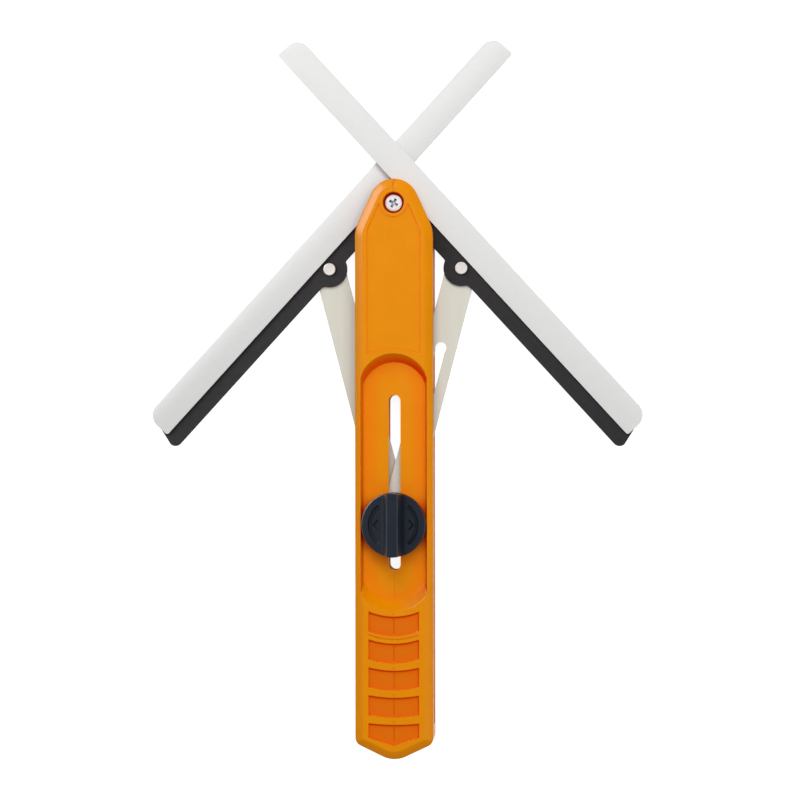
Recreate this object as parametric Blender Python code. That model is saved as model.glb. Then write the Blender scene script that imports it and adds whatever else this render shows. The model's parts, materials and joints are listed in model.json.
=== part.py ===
"""Sliding bevel with two mirrored blades.

Two moulded handle shells hold a stack of thin steel parts between them. The blades turn on a
screw in the nose. A link runs from a rivet on each arm to a clamp bolt, which slides along a
slot down the middle of the handle and is locked by a knob.

The tool lies on its back: +Z points towards the knob, +Y towards the nose and the origin is on
the pivot's axis, at the flat back. Sizes are in metres.
"""

import math

import bmesh
import bpy

for thing in list(bpy.data.objects):
    bpy.data.objects.remove(thing, do_unlink=True)

MM = 0.001

# Driving sizes: fits
running_gap = 0.3 * MM
cut_margin = 2.0 * MM

# Driving sizes: handle outline, measured from the pivot
handle_half_width = 19.05 * MM
handle_thickness = 23.6 * MM
nose_radius = 12.0 * MM
nose_taper = math.radians(24.7)
shoulder_radius = 18.0 * MM
tail_slant = math.radians(25.4)
tail_corner_radius = 4.4 * MM
tail_tip_radius = 13.0 * MM
edge_round_width = 3.8 * MM
edge_round_height = 3.2 * MM

# Driving sizes: layers of sheet between the shells
sheet_thickness = 1.0 * MM
tail_block_length = 16.3 * MM

# Driving sizes: clamp track and its slot
track_floor_thickness = 1.6 * MM
track_half_width = 16.3 * MM
track_draft = 1.0 * MM
track_beyond_slot = 20.2 * MM
track_top_slope = 4.3 * MM
track_bottom_slope = 5.7 * MM
track_top_radius = 17.2 * MM
track_bottom_radius = 18.6 * MM
slot_half_width = 2.9 * MM
slot_end_clearance = 1.7 * MM

# Driving sizes: label panel and grip
panel_depth = 0.35 * MM
panel_half_width = 12.6 * MM
panel_top_half_width = 7.2 * MM
panel_top = 0.8 * MM
panel_shoulder = 13.5 * MM
panel_to_track = 2.2 * MM
panel_arch_radius = 41.0 * MM
grip_count = 5
grip_pitch = 13.6 * MM
grip_half_width = 12.3 * MM
grip_pocket_length = 9.6 * MM
grip_depth = 1.4 * MM
grip_first_sag = 2.5 * MM
grip_sag_step = 0.45 * MM
grip_last_length = 6.9 * MM
grip_point_drop = 4.1 * MM
grip_to_track = 2.0 * MM
tail_beyond_grip = 1.65 * MM

# Driving sizes: hollows inside the shells
shell_wall = 3.8 * MM
shell_face = 2.2 * MM
rib_thickness = 2.0 * MM
cell_corner_radius = 1.5 * MM
nose_cells = 2
grip_cells = 3

# Driving sizes: pivot screw, nut and washers
pivot_hole_radius = 5.1 * MM
pivot_ring_radius = 6.7 * MM
pivot_hole_floor = 3.2 * MM
pivot_shank_radius = 2.0 * MM
pivot_head_radius = 4.1 * MM
pivot_head_height = 2.6 * MM
pivot_washer_radius = 6.2 * MM
pivot_bush_wall = 1.0 * MM
nut_across_flats = 7.0 * MM
nut_height = 3.2 * MM
screw_end_height = 2.8 * MM

# Driving sizes: blades and arms, along each arm from the pivot
blade_half_angle = math.radians(42.5)
widest_half_angle = math.radians(124.5)
blade_length = 253.8 * MM
blade_width = 13.9 * MM
blade_overhang = 93.6 * MM
blade_offset = 7.25 * MM
blade_outer_radius = 7.0 * MM
blade_inner_radius = 1.2 * MM
arm_rail_inset = 7.75 * MM
arm_rail_cover = 9.0 * MM
arm_rail_length = 162.6 * MM
arm_tip_radius = 3.6 * MM
arm_hub_radius = 8.6 * MM
arm_boss_radius = 8.8 * MM
arm_boss_fillet_upper = 1.2 * MM
arm_boss_fillet_lower = 3.0 * MM
rivet_distance = 45.3 * MM
rivet_offset = 2.8 * MM
rivet_head_radius = 3.0 * MM
rivet_shank_radius = 1.7 * MM
rivet_cap_radius = 2.6 * MM

# Driving sizes: links
link_length = 129.5 * MM
link_half_width = 7.6 * MM
keyhole_distance = 40.3 * MM
keyhole_radius = 2.9 * MM
keyhole_slot_half_width = 2.05 * MM
keyhole_end_distance = 104.0 * MM

# Driving sizes: clamp bolt, knob and washers
clamp_shank_radius = 2.5 * MM
clamp_neck_half_width = 2.55 * MM
clamp_head_radius = 6.2 * MM
clamp_head_height = 3.0 * MM
clamp_washer_radius = 8.5 * MM
clamp_washer_thickness = 1.0 * MM
clamp_bush_radius = 6.0 * MM
insert_radius = 4.0 * MM
insert_height = 8.0 * MM
knob_radius = 15.7 * MM
knob_collar_radius = 11.0 * MM
knob_collar_height = 2.3 * MM
knob_rim_height = 4.4 * MM
knob_rim_chamfer = 0.7 * MM
knob_tooth_count = 48
knob_tooth_depth = 0.45 * MM
knob_face_radius = 12.4 * MM
knob_face_depth = 0.6 * MM
knob_bar_height = 9.4 * MM
knob_bar_top_half_width = 2.6 * MM
knob_bar_base_half_width = 5.7 * MM
knob_bar_edge_radius = 0.7 * MM

# Driving sizes: tail screws
tail_screw_spacing = 16.0 * MM
tail_screw_from_tip = 12.8 * MM
tail_screw_radius = 1.5 * MM
tail_screw_head_radius = 2.8 * MM
tail_screw_head_height = 2.1 * MM
tail_screw_length = 16.0 * MM
tail_screw_head_depth = 2.0 * MM

# Linkage: pivot, rivet and clamp bolt make the triangle of each arm and link
rivet_arm = math.hypot(rivet_distance, rivet_offset)
rivet_lead = math.atan2(rivet_offset, rivet_distance)


def link_angle(half_angle):
    """How far a link leans from the handle's axis, with the blades opened by half_angle each."""
    return math.asin(rivet_arm * math.sin(half_angle + rivet_lead) / link_length)


def clamp_travel(half_angle):
    """Distance from the pivot to the clamp bolt at the same opening."""
    along_arm = rivet_arm * math.cos(half_angle + rivet_lead)
    return along_arm + link_length * math.cos(link_angle(half_angle))


link_half_angle = link_angle(blade_half_angle)
clamp_distance = clamp_travel(blade_half_angle)

# Slot and track, long enough for the bolt from the folded blades to the widest opening
slot_top = clamp_travel(widest_half_angle) - slot_half_width
slot_bottom = clamp_travel(0.0) + slot_end_clearance + slot_half_width
track_top = slot_top - track_beyond_slot
track_bottom = slot_bottom + track_beyond_slot

# Heights worked out from the driving sizes
mid_height = handle_thickness / 2
layer_count = 6
stack_height = layer_count * sheet_thickness + (layer_count + 1) * running_gap
stack_top = mid_height + stack_height / 2
stack_bottom = mid_height - stack_height / 2
track_floor_top = stack_top + track_floor_thickness
track_floor_bottom = stack_bottom - track_floor_thickness
grip_length = grip_count * grip_pitch
tail_tip_y = -track_bottom - grip_to_track - grip_length - tail_beyond_grip
tail_block_y = tail_tip_y + tail_block_length
front_face = handle_thickness


def layer_bottom(number):
    """Height of the lower side of one layer, with layer 0 nearest the front shell."""
    return stack_top - (number + 1) * (sheet_thickness + running_gap)


def layer_top(number):
    return layer_bottom(number) + sheet_thickness


# Outlines

def arc(centre, radius, start, end, steps):
    """Points on an arc from one angle to another, in degrees, ends included."""
    points = []
    for step in range(steps + 1):
        angle = math.radians(start + (end - start) * step / steps)
        points.append((centre[0] + radius * math.cos(angle), centre[1] + radius * math.sin(angle)))
    return points


def circle(radius, steps, centre=(0.0, 0.0)):
    return arc(centre, radius, 0.0, 360.0 * (steps - 1) / steps, steps - 1)


def rounded(corners, steps=6):
    """An outline through corners (x, y, radius), each rounded by an arc that meets both sides."""
    points = []
    for index, (x, y, radius) in enumerate(corners):
        before = corners[index - 1]
        after = corners[(index + 1) % len(corners)]
        to_before = math.atan2(before[1] - y, before[0] - x)
        to_after = math.atan2(after[1] - y, after[0] - x)
        opening = (to_before - to_after) % (2 * math.pi)
        half = min(opening, 2 * math.pi - opening) / 2
        if radius <= 0:
            points.append((x, y))
            continue
        reach = radius / math.tan(half)
        middle = math.atan2(
            math.sin(to_before) + math.sin(to_after), math.cos(to_before) + math.cos(to_after)
        )
        centre_distance = radius / math.sin(half)
        centre = (x + centre_distance * math.cos(middle), y + centre_distance * math.sin(middle))
        first = (x + reach * math.cos(to_before), y + reach * math.sin(to_before))
        last = (x + reach * math.cos(to_after), y + reach * math.sin(to_after))
        start = math.degrees(math.atan2(first[1] - centre[1], first[0] - centre[0]))
        end = math.degrees(math.atan2(last[1] - centre[1], last[0] - centre[0]))
        sweep = (end - start + 180.0) % 360.0 - 180.0
        points += arc(centre, radius, start, start + sweep, steps)
    return points


def handle_outline(inset=0.0, steps=8):
    """The handle seen from the front, or a parallel outline set in from it."""
    half = handle_half_width - inset
    nose = nose_radius - inset
    slant_rise = (1 / math.cos(tail_slant) - 1) * tail_tip_radius
    point_y = tail_tip_y - slant_rise + inset / math.cos(tail_slant)
    corner_y = point_y + half * math.tan(tail_slant)
    apex_y = nose / math.sin(nose_taper)
    shoulder_y = apex_y - half / math.tan(nose_taper)
    smallest = 0.4 * MM
    corner = max(tail_corner_radius - inset, smallest)
    tip = max(tail_tip_radius - inset, smallest)
    return rounded(
        [
            (0.0, apex_y, nose),
            (-half, shoulder_y, shoulder_radius - inset),
            (-half, corner_y, corner),
            (0.0, point_y, tip),
            (half, corner_y, corner),
            (half, shoulder_y, shoulder_radius - inset),
        ],
        steps,
    )


def track_outline(inset=0.0, slope=0.0, steps=16):
    """The clamp track, whose ends are arcs, as it is this far down its sloping wall (0 to 1)."""
    half = track_half_width - inset
    top_y = -track_top - track_top_slope * slope
    bottom_y = -track_bottom + track_bottom_slope * slope
    top_radius = track_top_radius - inset
    bottom_radius = track_bottom_radius - inset
    top_turn = math.degrees(math.asin(half / top_radius))
    bottom_turn = math.degrees(math.asin(half / bottom_radius))
    return arc(
        (0.0, top_y - top_radius), top_radius, 90.0 - top_turn, 90.0 + top_turn, steps
    ) + arc(
        (0.0, bottom_y + bottom_radius),
        bottom_radius,
        270.0 - bottom_turn,
        270.0 + bottom_turn,
        steps,
    )


def slot_outline(half_width, top_y, bottom_y, steps=10):
    """A slot along Y with round ends."""
    return arc((0.0, top_y - half_width), half_width, 0.0, 180.0, steps) + arc(
        (0.0, bottom_y + half_width), half_width, 180.0, 360.0, steps
    )


def sagging_edge(half_width, edge_y, sag, steps=8):
    """Points from left to right along an arc that hangs down by sag at its middle."""
    radius = (half_width**2 + sag**2) / (2 * sag)
    turn = math.degrees(math.asin(half_width / radius))
    return arc((0.0, edge_y - sag + radius), radius, 270.0 - turn, 270.0 + turn, steps)


def grip_pocket_outline(index):
    """One pocket of the grip: both long edges sag, and the last pocket ends in a point."""
    edge_y = -track_bottom - grip_to_track + grip_first_sag - index * grip_pitch
    low_y = edge_y - grip_pocket_length
    sag = grip_first_sag - index * grip_sag_step
    upper = sagging_edge(grip_half_width, edge_y, sag)
    if index < grip_count - 1:
        lower = sagging_edge(grip_half_width, low_y, sag)
    else:
        foot_y = edge_y - grip_last_length
        lower = [
            (-grip_half_width, foot_y),
            (0.0, foot_y - grip_point_drop),
            (grip_half_width, foot_y),
        ]
    return lower + upper[::-1]


def panel_outline(steps=10):
    """The shallow label panel, from beside the pivot screw to the arch above the track."""
    foot_edge = -track_top + panel_to_track
    radius = panel_arch_radius
    turn = math.degrees(math.asin(panel_half_width / radius))
    arch = arc((0.0, foot_edge - radius), radius, 90.0 + turn, 90.0 - turn, steps)
    return arch + [
        (panel_half_width, -panel_shoulder),
        (panel_top_half_width, -panel_top),
        (-panel_top_half_width, -panel_top),
        (-panel_half_width, -panel_shoulder),
    ]


def fillet_beside_circle(edge_x, centre, radius, fillet, side):
    """Where a fillet touches an arm's inner edge at x = edge_x, and the boss circle next to it.

    The arm's metal is at x > edge_x. Side is +1 for the fillet above the boss, -1 below it.
    """
    fillet_x = edge_x - fillet
    rise = math.sqrt((radius + fillet) ** 2 - (centre[0] - fillet_x) ** 2)
    fillet_centre = (fillet_x, centre[1] + side * rise)
    to_boss = math.degrees(
        math.atan2(centre[1] - fillet_centre[1], centre[0] - fillet_centre[0])
    )
    return fillet_centre, to_boss


def arm_rail_outline():
    """The black carrier of an arm: a hub on the pivot, a boss at the rivet and a long rail.

    X is the arm's outward side and Y runs up along it, away from its tip.
    """
    inner_x = blade_offset - arm_rail_inset
    outer_x = blade_offset + arm_rail_cover
    hub = (0.0, 0.0)
    boss = (rivet_offset, -rivet_distance)
    hub_fillet = arm_boss_fillet_lower
    hub_low, hub_low_angle = fillet_beside_circle(inner_x, hub, arm_hub_radius, hub_fillet, -1)
    upper, upper_angle = fillet_beside_circle(
        inner_x, boss, arm_boss_radius, arm_boss_fillet_upper, 1
    )
    lower, lower_angle = fillet_beside_circle(
        inner_x, boss, arm_boss_radius, arm_boss_fillet_lower, -1
    )
    hub_end = hub_low_angle + 180.0
    boss_start = upper_angle + 180.0
    boss_end = lower_angle + 180.0
    points = arc(hub, arm_hub_radius, 60.0, hub_end, 22)
    points += arc(hub_low, hub_fillet, hub_low_angle, 0.0, 4)
    points += arc(upper, arm_boss_fillet_upper, 0.0, upper_angle, 4)
    points += arc(boss, arm_boss_radius, boss_start, boss_end, 18)
    points += arc(lower, arm_boss_fillet_lower, lower_angle, 0.0, 4)
    tip_y = -arm_rail_length
    tip_x = inner_x + arm_tip_radius
    points += arc((tip_x, tip_y + arm_tip_radius), arm_tip_radius, 180.0, 270.0, 8)
    points += [(outer_x, tip_y + arm_tip_radius), (outer_x, -arm_hub_radius)]
    return points


def blade_outline():
    """The straight blade in its arm's frame, with well rounded corners on its outer edge."""
    inner_x = blade_offset
    outer_x = blade_offset + blade_width
    top_y = blade_overhang
    low_y = blade_overhang - blade_length
    return rounded(
        [
            (inner_x, top_y, blade_inner_radius),
            (inner_x, low_y, blade_inner_radius),
            (outer_x, low_y, blade_outer_radius),
            (outer_x, top_y, blade_outer_radius),
        ]
    )


def mirrored(points):
    """The same outline for the other arm, still running anticlockwise."""
    return [(-x, y) for x, y in reversed(points)]


# Solids

def finish(name, mesh_data, material, parent=None):
    """Turn a bmesh into a named object with its material."""
    bmesh.ops.remove_doubles(mesh_data, verts=mesh_data.verts, dist=1e-7)
    bmesh.ops.recalc_face_normals(mesh_data, faces=mesh_data.faces)
    mesh = bpy.data.meshes.new(name)
    mesh_data.to_mesh(mesh)
    mesh_data.free()
    built = bpy.data.objects.new(name, mesh)
    bpy.context.scene.collection.objects.link(built)
    if material:
        mesh.materials.append(material)
    if parent:
        built.parent = parent
    return built


def loft(name, sections, material=None, parent=None):
    """A closed solid through outlines of equal point count, given as (points, height)."""
    data = bmesh.new()
    rings = []
    for points, height in sections:
        rings.append([data.verts.new((x, y, height)) for x, y in points])
    for lower, upper in zip(rings, rings[1:]):
        for index in range(len(lower)):
            after = (index + 1) % len(lower)
            data.faces.new((lower[index], lower[after], upper[after], upper[index]))
    data.faces.new(rings[0][::-1])
    data.faces.new(rings[-1])
    return finish(name, data, material, parent)


def plate(name, points, low, high, material=None, parent=None):
    """A flat outline extruded between two heights."""
    data = bmesh.new()
    face = data.faces.new([data.verts.new((x, y, low)) for x, y in points])
    grown = bmesh.ops.extrude_face_region(data, geom=[face])
    lifted = [item for item in grown["geom"] if isinstance(item, bmesh.types.BMVert)]
    bmesh.ops.translate(data, verts=lifted, vec=(0.0, 0.0, high - low))
    return finish(name, data, material, parent)


def turned(name, profile, material=None, parent=None, centre=(0.0, 0.0), steps=32):
    """A closed profile of (radius, height) points spun once round a vertical axis."""
    data = bmesh.new()
    corners = [data.verts.new((centre[0] + r, centre[1], z)) for r, z in profile]
    count = len(corners)
    edges = [data.edges.new((corners[i], corners[(i + 1) % count])) for i in range(count)]
    bmesh.ops.spin(
        data,
        geom=corners + edges,
        cent=(centre[0], centre[1], 0.0),
        axis=(0.0, 0.0, 1.0),
        angle=2 * math.pi,
        steps=steps,
        use_merge=True,
    )
    loose = [edge for edge in data.edges if not edge.link_faces]
    bmesh.ops.delete(data, geom=loose, context="EDGES")
    return finish(name, data, material, parent)


def ring(name, inner, outer, low, high, material, parent=None, centre=(0.0, 0.0), steps=32):
    """A washer, spacer or tube."""
    profile = [(inner, low), (outer, low), (outer, high), (inner, high)]
    return turned(name, profile, material, parent, centre, steps)


def combine(target, other, operation):
    """Add, cut or keep what is shared, and hide the object that does it."""
    change = target.modifiers.new(other.name, "BOOLEAN")
    change.object = other
    change.operation = operation
    change.solver = "EXACT"
    other.hide_render = True
    other.hide_viewport = False
    other.display_type = "WIRE"


def cut(target, cutter):
    combine(target, cutter, "DIFFERENCE")


def join(target, addition):
    combine(target, addition, "UNION")


def axis_empty(name, place, turn=0.0):
    """An empty on a joint's axis, which carries the pieces of one moving body."""
    empty = bpy.data.objects.new(name, None)
    empty.location = place
    empty.rotation_euler = (0.0, 0.0, turn)
    empty.empty_display_size = 0.02
    bpy.context.scene.collection.objects.link(empty)
    return empty


def finish_material(name, colour, roughness, metallic=0.0):
    material = bpy.data.materials.new(name)
    material.use_nodes = True
    shader = material.node_tree.nodes["Principled BSDF"]
    shader.inputs["Base Color"].default_value = (*colour, 1.0)
    shader.inputs["Roughness"].default_value = roughness
    shader.inputs["Metallic"].default_value = metallic
    return material


# Handle shells

def shell_side(height):
    """Height measured from the back face, turned over for the rear shell by its caller."""
    return handle_thickness - height


def shell_body(name, material, front):
    """The outer form of one shell, from the joint in the middle out to its rounded face."""
    joint = running_gap / 2
    levels = [(0.0, joint), (0.0, mid_height - edge_round_height)]
    round_steps = 5
    for step in range(1, round_steps + 1):
        angle = math.pi / 2 * step / round_steps
        inset = edge_round_width * (1 - math.cos(angle))
        rise = edge_round_height * math.sin(angle)
        levels.append((inset, mid_height - edge_round_height + rise))
    sections = []
    for inset, rise in levels:
        height = mid_height + rise if front else mid_height - rise
        sections.append((handle_outline(inset), height))
    if not front:
        sections.reverse()
    return loft(name, sections, material)


def cell_outline(top_y, bottom_y, inset):
    """One hollow between ribs, as wide as the handle allows at its upper end."""
    half = handle_half_width - inset
    apex_y = (nose_radius - inset) / math.sin(nose_taper)
    top_half = min(half, (apex_y - top_y) * math.tan(nose_taper))
    shoulder_y = apex_y - half / math.tan(nose_taper)
    corner = cell_corner_radius
    corners = [(-top_half, top_y, corner)]
    if shoulder_y < top_y - corner:
        corners.append((-half, shoulder_y, corner))
    corners += [(-half, bottom_y, corner), (half, bottom_y, corner)]
    if shoulder_y < top_y - corner:
        corners.append((half, shoulder_y, corner))
    corners.append((top_half, top_y, corner))
    return rounded(corners, 3)


def hollow_cells(shell, label, front):
    """Core the shell from inside, in cells with ribs between them."""
    nose_start = -pivot_ring_radius - rib_thickness - pivot_hole_radius
    nose_end = -track_top + shell_wall
    grip_start = -track_bottom - shell_wall
    grip_end = tail_block_y + rib_thickness
    depth = handle_thickness - shell_face - grip_depth
    runs = [(nose_start, nose_end, nose_cells), (grip_start, grip_end, grip_cells)]
    number = 0
    for start, end, count in runs:
        length = (start - end - rib_thickness * (count - 1)) / count
        for index in range(count):
            top_y = start - index * (length + rib_thickness)
            outline = cell_outline(top_y, top_y - length, shell_wall)
            low, high = stack_top - cut_margin, depth
            if not front:
                low, high = handle_thickness - depth, stack_bottom + cut_margin
            number += 1
            cut(shell, plate(f"{label}_cell_{number}_cutter", outline, low, high))


def common_shell_cuts(shell, label, front):
    """What both shells share: arm gap, clamp track, slot, grip pockets and hollows."""
    far = handle_half_width + cut_margin
    gap_top = nose_radius + cut_margin
    gap_outline = [(-far, tail_block_y), (far, tail_block_y), (far, gap_top), (-far, gap_top)]
    if front:
        gap_cutter = plate(f"{label}_arm_gap_cutter", gap_outline, mid_height - cut_margin, stack_top)
    else:
        gap_cutter = plate(
            f"{label}_arm_gap_cutter", gap_outline, stack_bottom, mid_height + cut_margin
        )
    cut(shell, gap_cutter)

    track_depth = handle_thickness - track_floor_top
    beyond = cut_margin / track_depth
    sections = [
        (track_outline(track_draft, 1.0), track_floor_top),
        (track_outline(0.0, 0.0), handle_thickness),
        (track_outline(-track_draft * beyond, -beyond), handle_thickness + cut_margin),
    ]
    if not front:
        sections = [(points, shell_side(height)) for points, height in reversed(sections)]
    cut(shell, loft(f"{label}_track_cutter", sections))

    slot = slot_outline(slot_half_width, -slot_top, -slot_bottom)
    cut(shell, plate(f"{label}_slot_cutter", slot, -cut_margin, handle_thickness + cut_margin))

    for index in range(grip_count):
        low, high = handle_thickness - grip_depth, handle_thickness + cut_margin
        if not front:
            low, high = -cut_margin, grip_depth
        outline = grip_pocket_outline(index)
        cut(shell, plate(f"{label}_grip_{index + 1}_cutter", outline, low, high))
    hollow_cells(shell, label, front)


def tail_screw_places():
    y = tail_tip_y + tail_screw_from_tip
    return [("left", -tail_screw_spacing / 2, y), ("right", tail_screw_spacing / 2, y)]


def front_shell(material):
    shell = shell_body("front_shell", material, True)
    common_shell_cuts(shell, "front", True)
    low = front_face - panel_depth
    panel_cutter = plate("panel_cutter", panel_outline(), low, front_face + cut_margin)
    screw_rim = plate(
        "screw_rim", circle(pivot_ring_radius, 40), low - cut_margin, front_face + 2 * cut_margin
    )
    cut(panel_cutter, screw_rim)
    cut(shell, panel_cutter)
    floor = stack_top + pivot_hole_floor
    well = plate(
        "pivot_well_cutter", circle(pivot_hole_radius, 40), floor, front_face + cut_margin
    )
    cut(shell, well)
    hole_radius = pivot_shank_radius + running_gap
    hole = plate("pivot_hole_cutter", circle(hole_radius, 24), mid_height, front_face)
    cut(shell, hole)
    for side, x, y in tail_screw_places():
        outline = circle(tail_screw_radius + running_gap, 20, (x, y))
        end = tail_screw_end() + running_gap
        cut(shell, plate(f"tail_pilot_{side}_cutter", outline, mid_height - cut_margin, end))
    return shell


def tail_screw_end():
    return tail_screw_head_depth + tail_screw_length


def rear_shell(material):
    shell = shell_body("rear_shell", material, False)
    common_shell_cuts(shell, "rear", False)
    pocket_floor = nut_bottom() - running_gap
    across = nut_across_flats / 2 + running_gap
    pocket = plate(
        "nut_pocket_cutter", circle(across / math.cos(math.pi / 6), 6), pocket_floor, mid_height
    )
    cut(shell, pocket)
    hole_radius = pivot_shank_radius + running_gap
    end = screw_end_height - running_gap
    cut(shell, plate("screw_end_cutter", circle(hole_radius, 24), end, mid_height))
    for side, x, y in tail_screw_places():
        clearance = circle(tail_screw_radius + running_gap, 20, (x, y))
        high = mid_height + cut_margin
        cut(shell, plate(f"tail_hole_{side}_cutter", clearance, -cut_margin, high))
        head_room = circle(tail_screw_head_radius + running_gap, 24, (x, y))
        high = tail_screw_head_depth + tail_screw_head_height + running_gap
        cut(shell, plate(f"tail_head_{side}_cutter", head_room, -cut_margin, high))
    return shell


def nut_bottom():
    return stack_bottom - running_gap - nut_height


# Pivot hardware

def pivot_screw(material):
    """A pan head screw with a cross recess, sunk in the nose."""
    seat = stack_top + pivot_hole_floor + running_gap
    top = seat + pivot_head_height
    r = pivot_head_radius
    h = pivot_head_height
    screw = turned(
        "pivot_screw",
        [
            (0.0, screw_end_height),
            (pivot_shank_radius, screw_end_height),
            (pivot_shank_radius, seat),
            (r, seat),
            (r, seat + 0.45 * h),
            (r * 0.93, seat + 0.72 * h),
            (r * 0.74, seat + 0.92 * h),
            (r * 0.5, top),
            (0.0, top),
        ],
        material,
    )
    wing_half_length = r * 0.56
    wing_half_width = r * 0.13
    for index, (x, y) in enumerate(
        [(wing_half_length, wing_half_width), (wing_half_width, wing_half_length)]
    ):
        outline = [(-x, -y), (x, -y), (x, y), (-x, y)]
        wing = plate(f"cross_{index}_cutter", outline, top - 0.6 * h, top + cut_margin)
        wing.rotation_euler = (0.0, 0.0, math.radians(32.0))
        cut(screw, wing)
    return screw


def pivot_nut(material):
    outline = circle(nut_across_flats / 2 / math.cos(math.pi / 6), 6)
    nut = plate("pivot_nut", outline, nut_bottom(), nut_bottom() + nut_height, material)
    hole = circle(pivot_shank_radius + running_gap, 24)
    high = stack_bottom + cut_margin
    cut(nut, plate("nut_hole_cutter", hole, nut_bottom() - cut_margin, high))
    return nut


def pivot_hardware(steel):
    pivot_screw(steel)
    pivot_nut(steel)
    bush_inner = pivot_shank_radius + running_gap
    bush_outer = bush_inner + pivot_bush_wall
    low, high = stack_bottom + running_gap, stack_top - running_gap
    ring("pivot_bush", bush_inner, bush_outer, low, high, steel)
    inner = bush_outer + running_gap
    for name, bottom_layer, top_layer in (
        ("pivot_washer_front", 0, 0),
        ("pivot_spacer", 3, 2),
        ("pivot_washer_rear", 5, 5),
    ):
        low, high = layer_bottom(bottom_layer), layer_top(top_layer)
        ring(name, inner, pivot_washer_radius, low, high, steel)
    return inner


# Arms

def arm(label, side, first_layer, hub_hole, blade_finish, rail_finish, rivet_finish):
    """Blade, black carrier and rivet of one arm, turned on the pivot's axis."""
    axis = axis_empty(f"{label}_arm_axis", (0.0, 0.0, 0.0), side * blade_half_angle)
    blade_shape = blade_outline()
    rail_shape = arm_rail_outline()
    if side < 0:
        blade_shape = mirrored(blade_shape)
        rail_shape = mirrored(rail_shape)
    blade_low = layer_bottom(first_layer)
    plate(f"{label}_blade", blade_shape, blade_low, layer_top(first_layer), blade_finish, axis)
    rail_low, rail_high = layer_bottom(first_layer + 1), layer_top(first_layer + 1)
    rail = plate(f"{label}_arm_rail", rail_shape, rail_low, rail_high, rail_finish, axis)
    rivet_place = (side * rivet_offset, -rivet_distance)
    cuts = [("hub", hub_hole, (0.0, 0.0)), ("rivet", rivet_shank_radius + running_gap, rivet_place)]
    for hole_name, radius, place in cuts:
        outline = circle(radius, 32, place)
        cutter_name = f"{label}_{hole_name}_hole_cutter"
        cutter = plate(cutter_name, outline, rail_low - cut_margin, rail_high + cut_margin)
        cutter.parent = axis
        cut(rail, cutter)
    head_top = layer_top(first_layer)
    bevel = sheet_thickness * 0.35
    turned(
        f"{label}_rivet",
        [
            (0.0, rail_low),
            (rivet_shank_radius, rail_low),
            (rivet_shank_radius, blade_low),
            (rivet_head_radius, blade_low),
            (rivet_head_radius, head_top - bevel),
            (rivet_head_radius - bevel, head_top),
            (0.0, head_top),
        ],
        rivet_finish,
        axis,
        rivet_place,
    )


# Links

def link(label, side, layer, bolt_hole, keyhole, finish_name, rivet_finish):
    """One link, turned on the clamp bolt, with the flush half of its rivet."""
    place = (0.0, -clamp_distance, 0.0)
    axis = axis_empty(f"{label}_link_axis", place, -side * link_half_angle)
    low, high = layer_bottom(layer), layer_top(layer)
    outline = slot_outline(link_half_width, link_length + link_half_width, -link_half_width, 12)
    body = plate(f"{label}_link", outline, low, high, finish_name, axis)
    rivet_end = (0.0, link_length)
    holes = [
        ("bolt", circle(bolt_hole, 32)),
        ("rivet", circle(rivet_cap_radius + running_gap, 32, rivet_end)),
    ]
    if keyhole:
        bulb_y = link_length - keyhole_distance
        end_y = link_length - keyhole_end_distance
        holes.append(("bulb", circle(keyhole_radius, 32, (0.0, bulb_y))))
        holes.append(("keyway", slot_outline(keyhole_slot_half_width, bulb_y, end_y)))
    for hole_name, hole in holes:
        cutter_name = f"{label}_link_{hole_name}_cutter"
        cutter = plate(cutter_name, hole, low - cut_margin, high + cut_margin)
        cutter.parent = axis
        cut(body, cutter)
    turned(
        f"{label}_rivet_cap",
        [(0.0, low), (rivet_cap_radius, low), (rivet_cap_radius, high), (0.0, high)],
        rivet_finish,
        axis,
        rivet_end,
    )


# Clamp

def clamp(steel, brass, black):
    """Bolt, washers, bushes, insert and knob, which slide along the slot together."""
    axis = axis_empty("clamp_axis", (0.0, -clamp_distance, 0.0))
    washer_low = track_floor_top + running_gap
    washer_high = washer_low + clamp_washer_thickness
    knob_low = washer_high + running_gap
    hole = clamp_shank_radius + running_gap
    rear_high = track_floor_bottom - running_gap
    rear_low = rear_high - clamp_washer_thickness
    ring("clamp_washer", hole, clamp_washer_radius, washer_low, washer_high, steel, axis)
    neck_corner = clamp_neck_half_width * math.sqrt(2) + running_gap
    ring("rear_washer", neck_corner, clamp_washer_radius, rear_low, rear_high, steel, axis)
    ring("front_link_bush", hole, clamp_bush_radius, layer_bottom(1), layer_top(0), steel, axis)
    ring("link_spacer", hole, clamp_bush_radius, layer_bottom(4), layer_top(3), steel, axis)

    insert_low = knob_low + running_gap
    insert_high = insert_low + insert_height
    ring("knob_insert", hole, insert_radius, insert_low, insert_high, brass, axis, steps=24)

    head_high = rear_low - running_gap
    head_low = head_high - clamp_head_height
    bolt_end = insert_high - 2 * running_gap
    head = clamp_head_radius
    neck_high = layer_bottom(5) - running_gap
    bolt = turned(
        "clamp_bolt",
        [
            (0.0, head_low),
            (head * 0.55, head_low + clamp_head_height * 0.1),
            (head * 0.86, head_low + clamp_head_height * 0.4),
            (head, head_low + clamp_head_height * 0.75),
            (head, head_high),
            (clamp_shank_radius, head_high),
            (clamp_shank_radius, bolt_end - 0.5 * MM),
            (clamp_shank_radius - 0.5 * MM, bolt_end),
            (0.0, bolt_end),
        ],
        steel,
        axis,
    )
    n = clamp_neck_half_width
    square = [(-n, -n), (n, -n), (n, n), (-n, n)]
    neck = plate("bolt_neck", square, head_high - 0.5 * MM, neck_high)
    neck.parent = axis
    join(bolt, neck)
    knob(knob_low, insert_high + running_gap, black, axis)


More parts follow.
